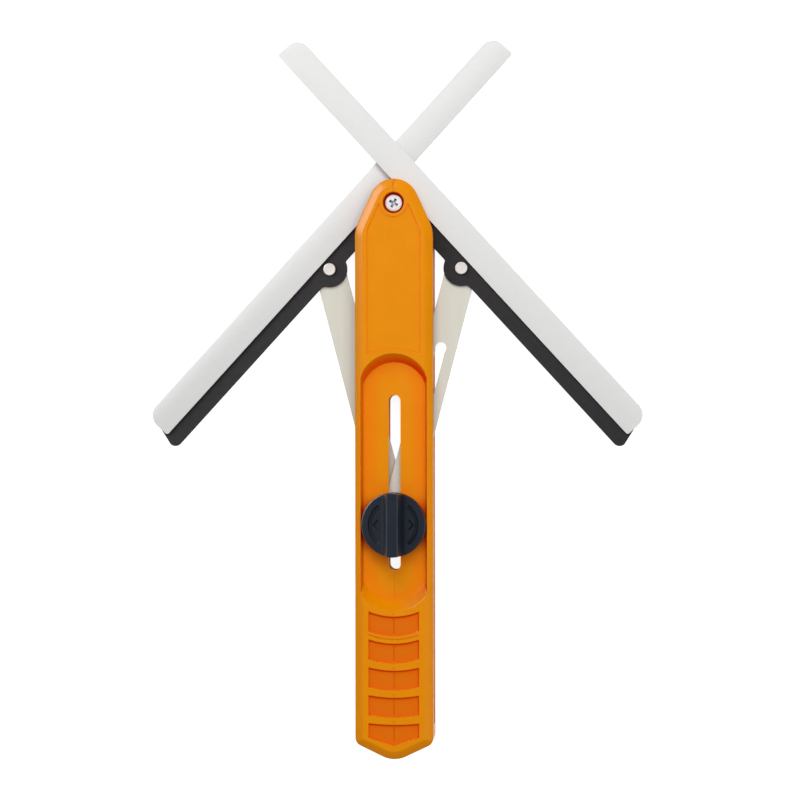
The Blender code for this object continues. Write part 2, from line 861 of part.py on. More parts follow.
def toothed_circle(radius, depth, steps_per_tooth=4):
    """A circle with fine rounded teeth."""
    count = knob_tooth_count * steps_per_tooth
    points = []
    for step in range(count):
        angle = 2 * math.pi * step / count
        ripple = 0.5 - 0.5 * math.cos(knob_tooth_count * angle)
        r = radius - depth * ripple
        points.append((r * math.cos(angle), r * math.sin(angle)))
    return points


def knob(low, insert_top, black, axis):
    """The round knob: collar, toothed rim and a tall bar with sloping sides to turn it by."""
    rim_low = low + knob_collar_height
    rim_high = rim_low + knob_rim_height
    chamfer = knob_rim_chamfer
    rim = toothed_circle(knob_radius, knob_tooth_depth)
    lip = toothed_circle(knob_radius - chamfer, 0.0)
    body = loft(
        "clamp_knob",
        [(lip, rim_low), (rim, rim_low + chamfer), (rim, rim_high - chamfer), (lip, rim_high)],
        black,
        axis,
    )
    face_low = rim_high - knob_face_depth
    dish = plate("knob_face_cutter", circle(knob_face_radius, 64), face_low, rim_high + cut_margin)
    bar_reach = knob_radius - chamfer - knob_tooth_depth
    top, base = knob_bar_top_half_width, knob_bar_base_half_width
    r = knob_bar_edge_radius
    bar_low = rim_high - knob_rim_height / 2
    bar_high = rim_high + knob_bar_height
    section = rounded(
        [(-base, bar_low, 0.0), (base, bar_low, 0.0), (top, bar_high, r), (-top, bar_high, r)], 4
    )
    data = bmesh.new()
    face = data.faces.new([data.verts.new((x, -knob_radius, z)) for x, z in section])
    grown = bmesh.ops.extrude_face_region(data, geom=[face])
    moved = [item for item in grown["geom"] if isinstance(item, bmesh.types.BMVert)]
    bmesh.ops.translate(data, verts=moved, vec=(0.0, 2 * knob_radius, 0.0))
    bar = finish("knob_bar", data, None)
    bar_trim = plate("knob_bar_trim", circle(bar_reach, 96), bar_low - MM, bar_high + MM)
    collar = plate(
        "knob_collar", circle(knob_collar_radius, 48), low, rim_low + knob_rim_height / 3
    )
    bore = plate(
        "insert_bore_cutter", circle(insert_radius + running_gap, 32), low - cut_margin, insert_top
    )
    for helper in (dish, bar, bar_trim, collar, bore):
        helper.parent = axis
    combine(bar, bar_trim, "INTERSECT")
    cut(body, dish)
    join(body, bar)
    join(body, collar)
    cut(body, bore)


def tail_screws(steel):
    head_low = tail_screw_head_depth
    head_high = head_low + tail_screw_head_height
    for side, x, y in tail_screw_places():
        turned(
            f"tail_screw_{side}",
            [
                (0.0, head_low),
                (tail_screw_head_radius * 0.7, head_low),
                (tail_screw_head_radius, head_low + 0.4 * tail_screw_head_height),
                (tail_screw_head_radius, head_high),
                (tail_screw_radius, head_high),
                (tail_screw_radius, tail_screw_end() - tail_screw_radius),
                (tail_screw_radius * 0.3, tail_screw_end()),
                (0.0, tail_screw_end()),
            ],
            steel,
            centre=(x, y),
            steps=24,
        )


def build():
    orange = finish_material("orange_plastic", (0.745, 0.235, 0.002), 0.42)
    white = finish_material("white_blade", (0.69, 0.69, 0.67), 0.35)
    black_steel = finish_material("black_steel", (0.024, 0.022, 0.024), 0.4)
    bare_steel = finish_material("bare_steel", (0.62, 0.61, 0.55), 0.32, 1.0)
    zinc = finish_material("zinc_steel", (0.72, 0.71, 0.69), 0.3, 1.0)
    brass = finish_material("brass", (0.75, 0.55, 0.25), 0.35, 1.0)
    black_plastic = finish_material("black_plastic", (0.016, 0.019, 0.028), 0.4)

    front_shell(orange)
    rear_shell(orange)
    hub_hole = pivot_hardware(zinc)
    arm("front", 1, 0, hub_hole, white, black_steel, zinc)
    arm("rear", -1, 3, hub_hole, white, black_steel, zinc)
    bolt_hole = clamp_shank_radius + running_gap
    link("front", 1, 2, bolt_hole, True, bare_steel, zinc)
    link("rear", -1, 5, bolt_hole, False, bare_steel, zinc)
    clamp(zinc, brass, black_plastic)
    tail_screws(zinc)


build()
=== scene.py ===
# %% [markdown]
# # Sliding bevel, dressed for its picture
#
# The tool is an orange moulded handle with two white steel blades that open like a pair of
# compasses. Two links run from the blades to a clamp that slides in the handle. The solids of
# every piece are loaded first, at their real size, and each piece that shows is then modelled
# again around them with finer edges and a finish.

# %% Load the frame
import json
import math

import bmesh
import bpy
from mathutils import Matrix, Vector


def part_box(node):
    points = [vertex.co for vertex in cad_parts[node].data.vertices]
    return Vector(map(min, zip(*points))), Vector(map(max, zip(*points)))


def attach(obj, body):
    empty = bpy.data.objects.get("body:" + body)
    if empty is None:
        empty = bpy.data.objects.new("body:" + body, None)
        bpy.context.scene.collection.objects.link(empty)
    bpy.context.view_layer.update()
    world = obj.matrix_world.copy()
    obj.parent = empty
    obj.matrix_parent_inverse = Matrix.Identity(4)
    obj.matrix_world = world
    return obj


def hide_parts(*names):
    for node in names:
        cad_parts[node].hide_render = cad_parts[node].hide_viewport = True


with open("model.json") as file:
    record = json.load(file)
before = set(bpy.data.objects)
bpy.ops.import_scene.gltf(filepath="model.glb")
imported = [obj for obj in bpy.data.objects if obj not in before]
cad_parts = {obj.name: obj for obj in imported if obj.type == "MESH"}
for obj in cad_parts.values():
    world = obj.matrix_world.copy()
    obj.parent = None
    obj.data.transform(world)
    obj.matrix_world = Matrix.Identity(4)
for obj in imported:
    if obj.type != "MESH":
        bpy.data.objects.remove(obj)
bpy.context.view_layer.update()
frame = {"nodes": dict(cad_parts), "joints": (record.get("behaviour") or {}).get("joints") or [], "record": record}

nodes = frame["nodes"]
MM = 0.001

# %% [markdown]
# ## Camera
#
# The picture was taken from almost straight above the tool, a little from its right, with a
# long lens. The camera is therefore placed in the tool's own frame: it hangs about a metre up,
# looks at the middle of the tool and keeps the nose at the top of the picture.

# %% Camera
camera_place = Vector((87.0, -104.0, 1100.0)) * MM
camera_target = Vector((2.52, -96.1, 15.0)) * MM
camera_roll = math.radians(-0.06)
camera_lens = 99.84
camera_sensor = 36.0


def linked(name, data):
    """A new object in the scene."""
    thing = bpy.data.objects.new(name, data)
    bpy.context.scene.collection.objects.link(thing)
    return thing


def place_camera():
    """A camera that looks from its place to its target with the tool's nose upwards."""
    data = bpy.data.cameras.new("camera")
    data.lens = camera_lens
    data.sensor_width = camera_sensor
    camera = linked("camera", data)
    back = (camera_place - camera_target).normalized()
    right = Vector((0.0, 1.0, 0.0)).cross(back).normalized()
    up = back.cross(right)
    facing = Matrix((right, up, back)).transposed().to_4x4()
    turned_back = facing @ Matrix.Rotation(camera_roll, 4, "Z")
    camera.matrix_world = Matrix.Translation(camera_place) @ turned_back
    bpy.context.scene.camera = camera


place_camera()
print("camera", round((camera_place - camera_target).length, 3), "m from the tool")

# %% [markdown]
# ## Shader maths
#
# A finish is easier to read as sums than as wires. This small class stands for one output of a
# node, and Python's own operators on it add the Math nodes. A second class holds the material
# and has one method that adds any node.

# %% Shader sockets
class Socket:
    """One output in a material, on which sums add Math nodes."""

    def __init__(self, finish, output):
        self.finish = finish
        self.output = output

    def math(self, operation, other=0.0, flip=False):
        pair = (other, self) if flip else (self, other)
        return self.finish.node("ShaderNodeMath", {"operation": operation}, dict(enumerate(pair)))

    def __add__(self, other):
        return self.math("ADD", other)

    __radd__ = __add__

    def __sub__(self, other):
        return self.math("SUBTRACT", other)

    def __rsub__(self, other):
        return self.math("SUBTRACT", other, flip=True)

    def __mul__(self, other):
        return self.math("MULTIPLY", other)

    __rmul__ = __mul__


print("sockets can be added, subtracted and multiplied")


# %% A material
class Finish:
    """A material with one method that adds any node."""

    def __init__(self, name, **constants):
        self.material = bpy.data.materials.new(name)
        self.material.use_nodes = True
        self.tree = self.material.node_tree
        self.shader = self.tree.nodes["Principled BSDF"]
        for socket, value in constants.items():
            self.shader.inputs[socket.replace("_", " ")].default_value = value

    def node(self, kind, settings=None, inputs=None, output=0):
        made = self.tree.nodes.new(kind)
        for name, value in (settings or {}).items():
            if name == "stops":
                for stop, (place, colour) in zip(made.color_ramp.elements, value):
                    stop.position, stop.color = place, colour
            else:
                setattr(made, name, value)
        for key, value in (inputs or {}).items():
            if isinstance(value, Socket):
                self.tree.links.new(value.output, made.inputs[key])
            else:
                made.inputs[key].default_value = value
        return Socket(self, made.outputs[output])

    def feed(self, socket, value):
        self.tree.links.new(value.output, self.shader.inputs[socket])

    def split(self, vector):
        """The three parts of a vector."""
        parts = self.node("ShaderNodeSeparateXYZ", None, {"Vector": vector})
        return [Socket(self, output) for output in parts.output.node.outputs]

    def mixed(self, share, first, second):
        """A colour between two others, the first where the share is 0."""
        return self.node("ShaderNodeMix", {"data_type": "RGBA"}, {0: share, 6: first, 7: second}, 2)


print("a material takes any node")

# %% [markdown]
# ## Light and floor
#
# The picture is a studio shot on white. A large soft light hangs overhead and gives most of the
# brightness, with a smaller one towards the top of the picture. Both edges of the handle also
# mirror a white screen at their side, which draws a pale line down them. A lamp can be left out
# of the reflections or out of the plain light, so each job gets a lamp of its own, and the
# plastic keeps its full colour. The plain floor shines white to the camera and to anything
# glossy, so the background is white without any extra light on the tool.

# %% World and lamps
room_strength = 0.36
lamp_aim = Vector((0.0, -0.08, 0.0))
# The place, side and power of each lamp
overhead_light = ((0.3, 0.3, 1.5), 1.3, 14.2)
key_light = ((-0.15, 0.72, 0.9), 0.6, 4.6)
left_screen = ((-0.88, 0.54, 0.46), 0.85, 46.0)
right_screen = ((0.75, -0.42, 0.5), 0.5, 1.3)


def soft_lamp(name, place, size, power, shines=True, mirrored=True):
    """A square area lamp that looks at the tool."""
    data = bpy.data.lights.new(name, "AREA")
    data.shape = "SQUARE"
    data.size = size
    data.energy = power
    lamp = linked(name, data)
    lamp.location = place
    lamp.rotation_euler = (Vector(place) - lamp_aim).to_track_quat("Z", "Y").to_euler()
    lamp.visible_diffuse = shines
    lamp.visible_glossy = mirrored


def light_room():
    bpy.context.scene.view_settings.view_transform = "Standard"
    world = bpy.data.worlds.new("room")
    bpy.context.scene.world = world
    world.use_nodes = True
    background = world.node_tree.nodes["Background"]
    background.inputs["Color"].default_value = (1.0, 1.0, 1.0, 1.0)
    background.inputs["Strength"].default_value = room_strength
    soft_lamp("overhead_light", *overhead_light, mirrored=False)
    soft_lamp("key_light", *key_light, mirrored=False)
    soft_lamp("left_screen", *left_screen, shines=False)
    soft_lamp("right_screen", *right_screen, shines=False)


light_room()
print("lamps:", len(bpy.data.lights))

# %% Floor
floor_half = 3.0
floor_drop = 0.05 * MM
floor_glow = (0.88, 0.88, 0.88, 1.0)
floor_white = (0.55, 0.55, 0.55, 1.0)


def white_floor():
    """A plain floor that glows to the camera and to anything glossy."""
    data = bmesh.new()
    bmesh.ops.create_grid(data, x_segments=1, y_segments=1, size=floor_half)
    bmesh.ops.translate(data, verts=data.verts, vec=(0.0, 0.0, -floor_drop))
    mesh = bpy.data.meshes.new("floor")
    data.to_mesh(mesh)
    data.free()
    floor = linked("floor", mesh)
    finish = Finish("floor_white", Base_Color=floor_white, Roughness=0.8, Specular_IOR_Level=0.0)
    rays = finish.tree.nodes.new("ShaderNodeLightPath")
    seen = Socket(finish, rays.outputs["Is Camera Ray"])
    seen = seen + Socket(finish, rays.outputs["Is Glossy Ray"])
    seen = seen + Socket(finish, rays.outputs["Is Transmission Ray"])
    glow = finish.node("ShaderNodeEmission", None, {"Color": floor_glow, "Strength": seen})
    lit = Socket(finish, finish.shader.outputs[0])
    both = finish.node("ShaderNodeAddShader", None, {0: lit, 1: glow})
    surface = finish.tree.nodes["Material Output"].inputs["Surface"]
    finish.tree.links.new(both.output, surface)
    floor.data.materials.append(finish.material)


white_floor()
print("floor", 2 * floor_half, "m across")

# %% [markdown]
# ## Finishes
#
# The handle is moulded in one colour. What keeps such plastic from looking flat is its skin: the
# mould is spark eroded, so the surface has a very fine grain and its gloss is never quite even.

# %% Grain, relief and painted shade in closed places
colour_grain = (90.0, 3.0)
gloss_grain = (600.0, 2.0)
relief_grain = (2600.0, 2.0)
line_grain = (420.0, 4.0)
skin_strength = 0.2
skin_relief = 0.02 * MM
line_relief = 0.01 * MM
line_gloss = 0.12


def grain(finish, scale, detail, stretch=(1.0, 1.0, 1.0)):
    """A fine noise on the piece's own coordinates, between 0 and 1."""
    place = finish.node("ShaderNodeTexCoord", None, None, "Object")
    spread = finish.node("ShaderNodeMapping", None, {"Vector": place, "Scale": stretch})
    sizes = {"Vector": spread, "Scale": scale, "Detail": detail}
    return finish.node("ShaderNodeTexNoise", None, sizes)


def bump(finish, height, strength, depth):
    sizes = {"Height": height, "Strength": strength, "Distance": depth}
    finish.feed("Normal", finish.node("ShaderNodeBump", None, sizes))


def wandering(finish, factor, first, second):
    """A colour that wanders from one value to another."""
    stops = ((0.3, (*first, 1.0)), (0.7, (*second, 1.0)))
    return finish.node("ShaderNodeValToRGB", {"stops": stops}, {"Fac": factor})


def closed_in(finish, reach, gain):
    """From 0 in the open to 1 where other surfaces stand close, for painting shade into a colour."""
    near = {"Distance": reach}
    openness = finish.node("ShaderNodeAmbientOcclusion", {"samples": 16}, near, "AO")
    return ((1.0 - openness) * gain).math("MINIMUM", 1.0)


def skin(finish, roughness, spread, matt=0.0):
    """The spark eroded skin of a mould: uneven gloss and a very fine grain."""
    uneven = grain(finish, *gloss_grain) * spread
    finish.feed("Roughness", uneven + (roughness - spread / 2) + matt)
    bump(finish, grain(finish, *relief_grain), skin_strength, skin_relief)


print("skin relief", skin_relief, "m deep")

# %% [markdown]
# ## Orange plastic
#
# Light that has bounced between two orange walls is redder than light that has bounced once. A plain colour would
# leave the walls of the recesses brown, so red shade is painted into the colour where other surfaces stand close,
# and narrow gaps get a painted dark red. Upright walls that look left or down the picture get the most painted
# shade. The floors of the grip pockets get a darker, redder colour of their own, which is painted shade too.

# %% Orange plastic
orange = (0.765, 0.252, 0.0)
orange_worn = (0.74, 0.241, 0.0)
pocket_floor_shade = (0.70, 0.155, 0.0)
# The next two colours are painted shade: one for shaded walls, one for narrow gaps
orange_painted_shade = (0.92, 0.012, 0.0)
orange_gap_shade = (0.50, 0.012, 0.0)
orange_gloss = 0.1
# How far the painted shade reaches, how strong it is on walls, and where narrow gaps start to darken
closed_reach = 9.0 * MM
wall_gain = 8.0
shade_even = 0.5
shade_down = 1.1
shade_left = 0.38
shade_least = 0.15
gap_start = 0.45
gap_gain = 3.0
gap_most = 0.9
mid_height = (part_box("front_shell")[1].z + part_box("rear_shell")[0].z) / 2
# Where the floors of the grip pockets get their painted shade
pocket_shade_depth = (1.33 * MM, 2.4 * MM)
pocket_shade_half = 12.4 * MM
pocket_shade_ends = (-264.8 * MM, -199.0 * MM)


def between(value, low, high):
    """1 where a value lies between two numbers, and 0 elsewhere."""
    return value.math("GREATER_THAN", low) * value.math("LESS_THAN", high)


def orange_moulding():
    """Orange plastic with red shade painted into its colour where other surfaces stand close."""
    finish = Finish("orange_plastic", Specular_IOR_Level=orange_gloss)
    plain = wandering(finish, grain(finish, *colour_grain), orange, orange_worn)
    across, along, up = finish.split(finish.node("ShaderNodeTexCoord", None, None, "Object"))
    depth = mid_height - (up - mid_height).math("ABSOLUTE")
    in_pocket = (
        between(depth, *pocket_shade_depth)
        * between(across, -pocket_shade_half, pocket_shade_half)
        * between(along, *pocket_shade_ends)
    )
    # Painted shade: the pocket floors are darker and redder than the face
    plain = finish.mixed(in_pocket, plain, (*pocket_floor_shade, 1.0))
    # Painted shade: walls that look down or left turn red where other surfaces stand close, and narrow gaps turn
    # dark red
    face = finish.node("ShaderNodeNewGeometry", None, None, "Normal")
    right, ahead, upward = finish.split(face)
    upright = 1.0 - upward.math("ABSOLUTE")
    turned_away = shade_even - ahead * shade_down - right * shade_left
    shade = (upright * turned_away + shade_least).math("MAXIMUM", 0.0)
    closed = closed_in(finish, closed_reach, 1.0)
    shaded_wall = (closed * wall_gain).math("MINIMUM", 1.0) * shade
    walls = finish.mixed(shaded_wall.math("MINIMUM", 1.0), plain, (*orange_painted_shade, 1.0))
    narrow_gap = ((closed - gap_start) * gap_gain).math("MAXIMUM", 0.0)
    in_gap = narrow_gap.math("MINIMUM", gap_most)
    finish.feed("Base Color", finish.mixed(in_gap, walls, (*orange_gap_shade, 1.0)))
    skin(finish, roughness=0.3, spread=0.06)
    return finish


orange_plastic = orange_moulding()
print("orange plastic", len(orange_plastic.tree.nodes), "nodes")

# %% [markdown]
# ## Black plastic
#
# The knob is black with a cool gloss. Its grooves get painted shade, darker than its face, and are more matt, so
# that they don't shine where they face the light.

# %% Black plastic
knob_black = (0.006, 0.008, 0.014)
knob_blue = (0.009, 0.012, 0.02)
knob_groove_shade = (0.001, 0.001, 0.002)
knob_gloss_tint = (0.75, 0.85, 1.0, 1.0)
groove_matt = 0.55


def black_moulding():
    finish = Finish("black_plastic", Specular_Tint=knob_gloss_tint)
    plain = wandering(finish, grain(finish, *colour_grain), knob_black, knob_blue)
    # Painted shade: the grooves turn darker where other surfaces stand close
    groove = closed_in(finish, reach=2.0 * MM, gain=1.6)
    finish.feed("Base Color", finish.mixed(groove, plain, (*knob_groove_shade, 1.0)))
    skin(finish, roughness=0.33, spread=0.1, matt=groove * groove_matt)
    return finish


black_plastic = black_moulding()
print("black plastic", len(black_plastic.tree.nodes), "nodes")

# %% [markdown]
# ## Metals
#
# Blades and carriers are painted, the links are bare, the fasteners are plated and the knob's insert is brass. All
# of them are sheet or turned parts with fine lines, so one function makes them. Paint hides the metal, so a
# painted piece has no metallic share. The bare links have none either, because their brushed faces look pale and
# even in this light. Their lines run along the tool. The carriers and the plated screw also get painted shade
# where other surfaces stand close.

# %% Metals
flat = (1, 1, 1)
drawn = (1, 0.05, 1)


def metal(name, first, second, roughness, relief, stretch=flat, painted_shade_colour=None, reach=MM, **more):
    """Sheet or turned metal with lines in its colour, gloss and relief.

    The shade colour, if given, is painted shade, laid into places that other surfaces closer than the reach shut
    in.
    """
    finish = Finish(name, **more)
    lines = grain(finish, *line_grain, stretch)
    colour = wandering(finish, lines, first, second)
    if painted_shade_colour:
        # Painted shade where other surfaces stand close
        closed = closed_in(finish, reach, gain=2.0)
        colour = finish.mixed(closed, colour, (*painted_shade_colour, 1.0))
    finish.feed("Base Color", colour)
    finish.feed("Roughness", lines * line_gloss + (roughness - line_gloss / 2))
    bump(finish, lines, relief, line_relief)
    return finish


white_enamel = metal(
    "white_enamel", (0.70, 0.70, 0.693), (0.685, 0.685, 0.678), roughness=0.42, relief=0.05
)
black_steel = metal(
    "black_steel",
    (0.015, 0.0135, 0.0155),
    (0.019, 0.017, 0.019),
    roughness=0.46,
    relief=0.3,
    # Painted shadow: the carrier turns black along the blade's edge and in its corners
    painted_shade_colour=(0.002, 0.002, 0.002),
    reach=1.2 * MM,
    Specular_IOR_Level=0.3,
)
bare_steel = metal(
    "bare_steel",
    (0.65, 0.64, 0.56),
    (0.625, 0.615, 0.54),
    roughness=0.42,
    relief=0.1,
    stretch=drawn,
)
zinc = metal(
    "zinc_steel",
    (0.97, 0.97, 0.98),
    (0.9, 0.91, 0.93),
    roughness=0.2,
    relief=0.03,
    # Painted shade: the screw's cross recess turns dark blue
    painted_shade_colour=(0.05, 0.10, 0.16),
    reach=0.8 * MM,
    Metallic=0.35,
)
rivet_steel = metal(
    "rivet_steel", (0.74, 0.69, 0.66), (0.70, 0.65, 0.62), roughness=0.38, relief=0.05, Metallic=0.2
)
brass = metal(
    "brass", (0.75, 0.55, 0.25), (0.66, 0.47, 0.2), roughness=0.35, relief=0.1, Metallic=1.0
)
print("metals with a metallic share:", zinc.material.name, rivet_steel.material.name, "and brass")

# %% A finish for every piece
finish_of = {
    "orange_plastic": orange_plastic,
    "white_blade": white_enamel,
    "black_steel": black_steel,
    "bare_steel": bare_steel,
    "zinc_steel": zinc,
    "rivet_steel": rivet_steel,
    "brass": brass,
    "black_plastic": black_plastic,
}
slot_of = {part["node"]: part["material_slot"] for part in frame["record"]["subparts"]}
for name, thing in nodes.items():
    thing.data.materials.clear()
    thing.data.materials.append(finish_of[slot_of[name]].material)
print(len(finish_of), "finishes on", len(slot_of), "pieces")

# %% [markdown]
# ## Drawing outlines
#
# Every moulded or stamped piece starts as a flat outline. It could be typed as a list of points,
# but then a radius could not be changed. Here each corner is given with its radius: a point is
# extruded to where the corner starts and spun round the corner's centre, as a pair of compasses
# would draw it.

# %% Pen strokes
def stroke_to(data, pen, x, y):
    """Extrude the last point of a line to a new place."""
    pen = bmesh.ops.extrude_vert_indiv(data, verts=[pen])["verts"][0]
    pen.co = (x, y, pen.co.z)
    return pen


def stroke_round(data, pen, centre, turn, steps):
    """Spin the last point of a line round a centre, anticlockwise for a positive turn."""
    middle = (centre[0], centre[1], pen.co.z)
    spun = bmesh.ops.spin(data, geom=[pen], cent=middle, axis=(0, 0, 1), angle=turn, steps=steps)
    return [item for item in spun["geom_last"] if isinstance(item, bmesh.types.BMVert)][0]


def outline(draw):
    """Close the line that a function draws, and return the edges that it made."""

    def drawn_line(data, *sizes):
        known = set(data.edges)
        data.edges.new(draw(data, *sizes))
        return [edge for edge in data.edges if edge not in known]

    return drawn_line


@outline
def trace(data, corners, height=0.0, steps=6):
    """Draw an outline through corners (x, y, radius)."""
    start = pen = None
    for index, (x, y, radius) in enumerate(corners):
        at = Vector((x, y))
        back = (Vector(corners[index - 1][:2]) - at).normalized()
        ahead = (Vector(corners[(index + 1) % len(corners)][:2]) - at).normalized()
        half = back.angle(ahead) / 2
        first = at + back * radius / math.tan(half)
        if pen is None:
            start = pen = data.verts.new((*first, height))
        else:
            pen = stroke_to(data, pen, *first)
        if radius > 0:
            centre = at + (back + ahead).normalized() * radius / math.sin(half)
            turn = math.copysign(math.pi - 2 * half, ahead.cross(back))
            pen = stroke_round(data, pen, centre, turn, steps)
    return pen, start


def rectangle(half, low, high, radius=0.0):
    """The corners of a rectangle on the middle line."""
    return [(half, low, radius), (half, high, radius), (-half, high, radius), (-half, low, radius)]


print("a rectangle has", len(rectangle(1.0, 0.0, 1.0)), "corners")


# %% Faces and steps
def filled(data, edges):
    return bmesh.ops.contextual_create(data, geom=edges)["faces"][0]


def raised(data, face, height, along=0.0):
    """Extrude a face along Z, or along Y, and return its moved copy."""
    grown = bmesh.ops.extrude_face_region(data, geom=[face])["geom"]
    moved = [item for item in grown if isinstance(item, bmesh.types.BMVert)]
    bmesh.ops.translate(data, verts=moved, vec=(0.0, along, height))
    return [item for item in grown if isinstance(item, bmesh.types.BMFace)][0]


def stepped(data, face, steps):
    """Inset a face and move it along its normal, once for each (inset, depth) pair."""
    for inset, depth in steps:
        bmesh.ops.inset_region(
            data,
            faces=[face],
            thickness=inset,
            depth=depth,
            use_even_offset=True,
            use_boundary=True,
        )
    return face


def rolled(radius, steps=3):
    """Inset and depth pairs that turn a wall into a face by a quarter round."""
    pairs = []
    for step in range(steps):
        a, b = (math.pi / 2 * part / steps for part in (step, step + 1))
        pairs.append((radius * (math.cos(a) - math.cos(b)), radius * (math.sin(b) - math.sin(a))))
    return pairs


print("a quarter round in", len(rolled(1.0)), "steps")

# %% [markdown]
# ## Finishing a piece
#
# A sharp edge looks false, because every real edge catches a little light. Sheet pieces get
# their edges broken by a bevel, and moulded pieces are cut by shapes that flare at the surface.
# Weighted normals then keep large faces flat beside their small rounds.

# %% Making a piece
weld = 1e-7
crease = 35.0


def shaded(piece, sharp=crease):
    piece.data.shade_smooth()
    piece.data.set_sharp_from_angle(angle=math.radians(sharp))


def made(name, data, finish=None):
    """Turn a bmesh into a piece. Without a finish it is a cutter."""
    bmesh.ops.remove_doubles(data, verts=data.verts, dist=weld)
    bmesh.ops.recalc_face_normals(data, faces=data.faces)
    mesh = bpy.data.meshes.new(name)
    data.to_mesh(mesh)
    data.free()
    piece = linked(name, mesh)
    if finish:
        mesh.materials.append(finish.material)
        shaded(piece)
    return piece


def stand_for(piece, body, replaced):
    """Let a piece ride on its body and take the place of its solid."""
    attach(piece, body)
    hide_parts(replaced)


print("edges over", crease, "degrees stay sharp")


# %% Cutting a piece
past = 1.0 * MM


def cut(piece, cutters, sharp=crease, operation="DIFFERENCE"):
    """Cut a piece with others, keep the result as its mesh and remove the cutters."""
    for cutter in cutters:
        change = piece.modifiers.new(cutter.name, "BOOLEAN")
        change.object = cutter
        change.operation = operation
        change.solver = "EXACT"
    bpy.context.view_layer.update()
    ready = piece.evaluated_get(bpy.context.evaluated_depsgraph_get())
    mesh = bpy.data.meshes.new_from_object(ready)
    piece.modifiers.clear()
    piece.data = mesh
    for cutter in cutters:
        bpy.data.objects.remove(cutter)
    shaded(piece, sharp)
    weigh = piece.modifiers.new("flat_faces", "WEIGHTED_NORMAL")
    weigh.keep_sharp = True
    return piece


def block(name, corners, low, high, steps=6):
    """A cutter or plain body: a traced outline raised between two heights."""
    data = bmesh.new()
    raised(data, filled(data, trace(data, corners, low, steps)), high - low)
    return made(name, data)


def bridged(name, data, rings, finish=None):
    """A closed body through a row of outlines, with flat ends."""
    for lower, upper in zip(rings, rings[1:]):
        bmesh.ops.bridge_loops(data, edges=lower + upper)
    filled(data, rings[0])
    filled(data, rings[-1])
    return made(name, data, finish)


print("cutters reach", past, "m past what they cut")


# %% Recesses and turned pieces
hair = 0.01 * MM


def recess(name, draw, floor, face, flare, floor_round, draft=0.0, below=False, lean=(0.0, 0.0)):
    """A cutter for a recess that flares at the face and is rounded at its floor.

    Draw is a function that traces the outline at a height. Lean moves the floor sideways, which
    makes the walls on that side steep and those opposite slope. The finished cutter is turned
    over for the rear shell, whose face looks down.
    """
    data = bmesh.new()
    wall = face - flare
    base = filled(data, draw(data, wall))
    lid = raised(data, base, hair)
    bmesh.ops.recalc_face_normals(data, faces=data.faces)
    stepped(data, lid, [(-inset, rise) for inset, rise in rolled(flare)[::-1]])
    stepped(data, lid, [(0.0, 2 * past)])
    stepped(data, base, [(draft, wall - floor - floor_round)])
    bmesh.ops.translate(data, verts=base.verts, vec=(*lean, 0.0))
    stepped(data, base, rolled(floor_round))
    if below:
        bmesh.ops.scale(data, verts=data.verts, vec=(1.0, 1.0, -1.0))
        bmesh.ops.translate(data, verts=data.verts, vec=(0.0, 0.0, face_height))
    return made(name, data)


def rotated(data, angle, axis):
    turn = Matrix.Rotation(angle, 3, axis)
    bmesh.ops.rotate(data, verts=data.verts, cent=(0, 0, 0), matrix=turn)


def turned(name, profile, finish, centre=(0.0, 0.0), steps=96):
    """Spin a closed profile of corners (radius, height, rounding) about a vertical axis."""
    data = bmesh.new()
    edges = trace(data, profile, 0.0, 4)
    rotated(data, math.pi / 2, "X")
    bmesh.ops.translate(data, verts=data.verts, vec=(*centre, 0.0))
    bmesh.ops.spin(
        data,
        geom=list(data.verts) + edges,
        cent=(*centre, 0.0),
        axis=(0, 0, 1),
        angle=2 * math.pi,
        steps=steps,
        use_merge=True,
    )
    bmesh.ops.remove_doubles(data, verts=data.verts, dist=weld)
    loose = [edge for edge in data.edges if not edge.link_faces]
    bmesh.ops.delete(data, geom=loose, context="EDGES")
    return made(name, data, finish)


print("a flare of 1 mm in", len(rolled(1.0 * MM)), "steps")

# %% [markdown]
# ## Where things are
#
# Nothing is placed by eye. The joint at the nose gives the angle of the blades, and the boxes of
# the loaded pieces give the rivets, the clamp and the heights of the six layers of sheet.

# %% Places taken from the frame
def middle_of(node):
    low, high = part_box(node)
    return (low + high) / 2


swing = [joint for joint in frame["joints"] if joint["name"] == "front_arm_swing"][0]
clamp_place = middle_of("clamp_bolt")
handle_low, handle_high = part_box("front_shell")
face_height = handle_high.z
half_width = handle_high.x
nose_y = handle_high.y
tail_y = handle_low.y
print("face at", round(face_height / MM, 2), "mm, nose", nose_y, "tail", tail_y)
print("the front arm swings through", swing["range_deg"], "degrees")

# %% [markdown]
# ## Handle shells
#
# The handle is two injection moulded shells that meet at half height. The form is drawn once as
# a ring of rounded corners and repeated at each height, a little smaller where the edge rolls
# over, and the rings are bridged. Cutting comes next: the arm gap in the joint, the clamp track
# with its sloping ends, the slot, the label panel and the five grip pockets. Every cutter flares
# where it meets the face, so each recess gets the soft edge that a mould gives.

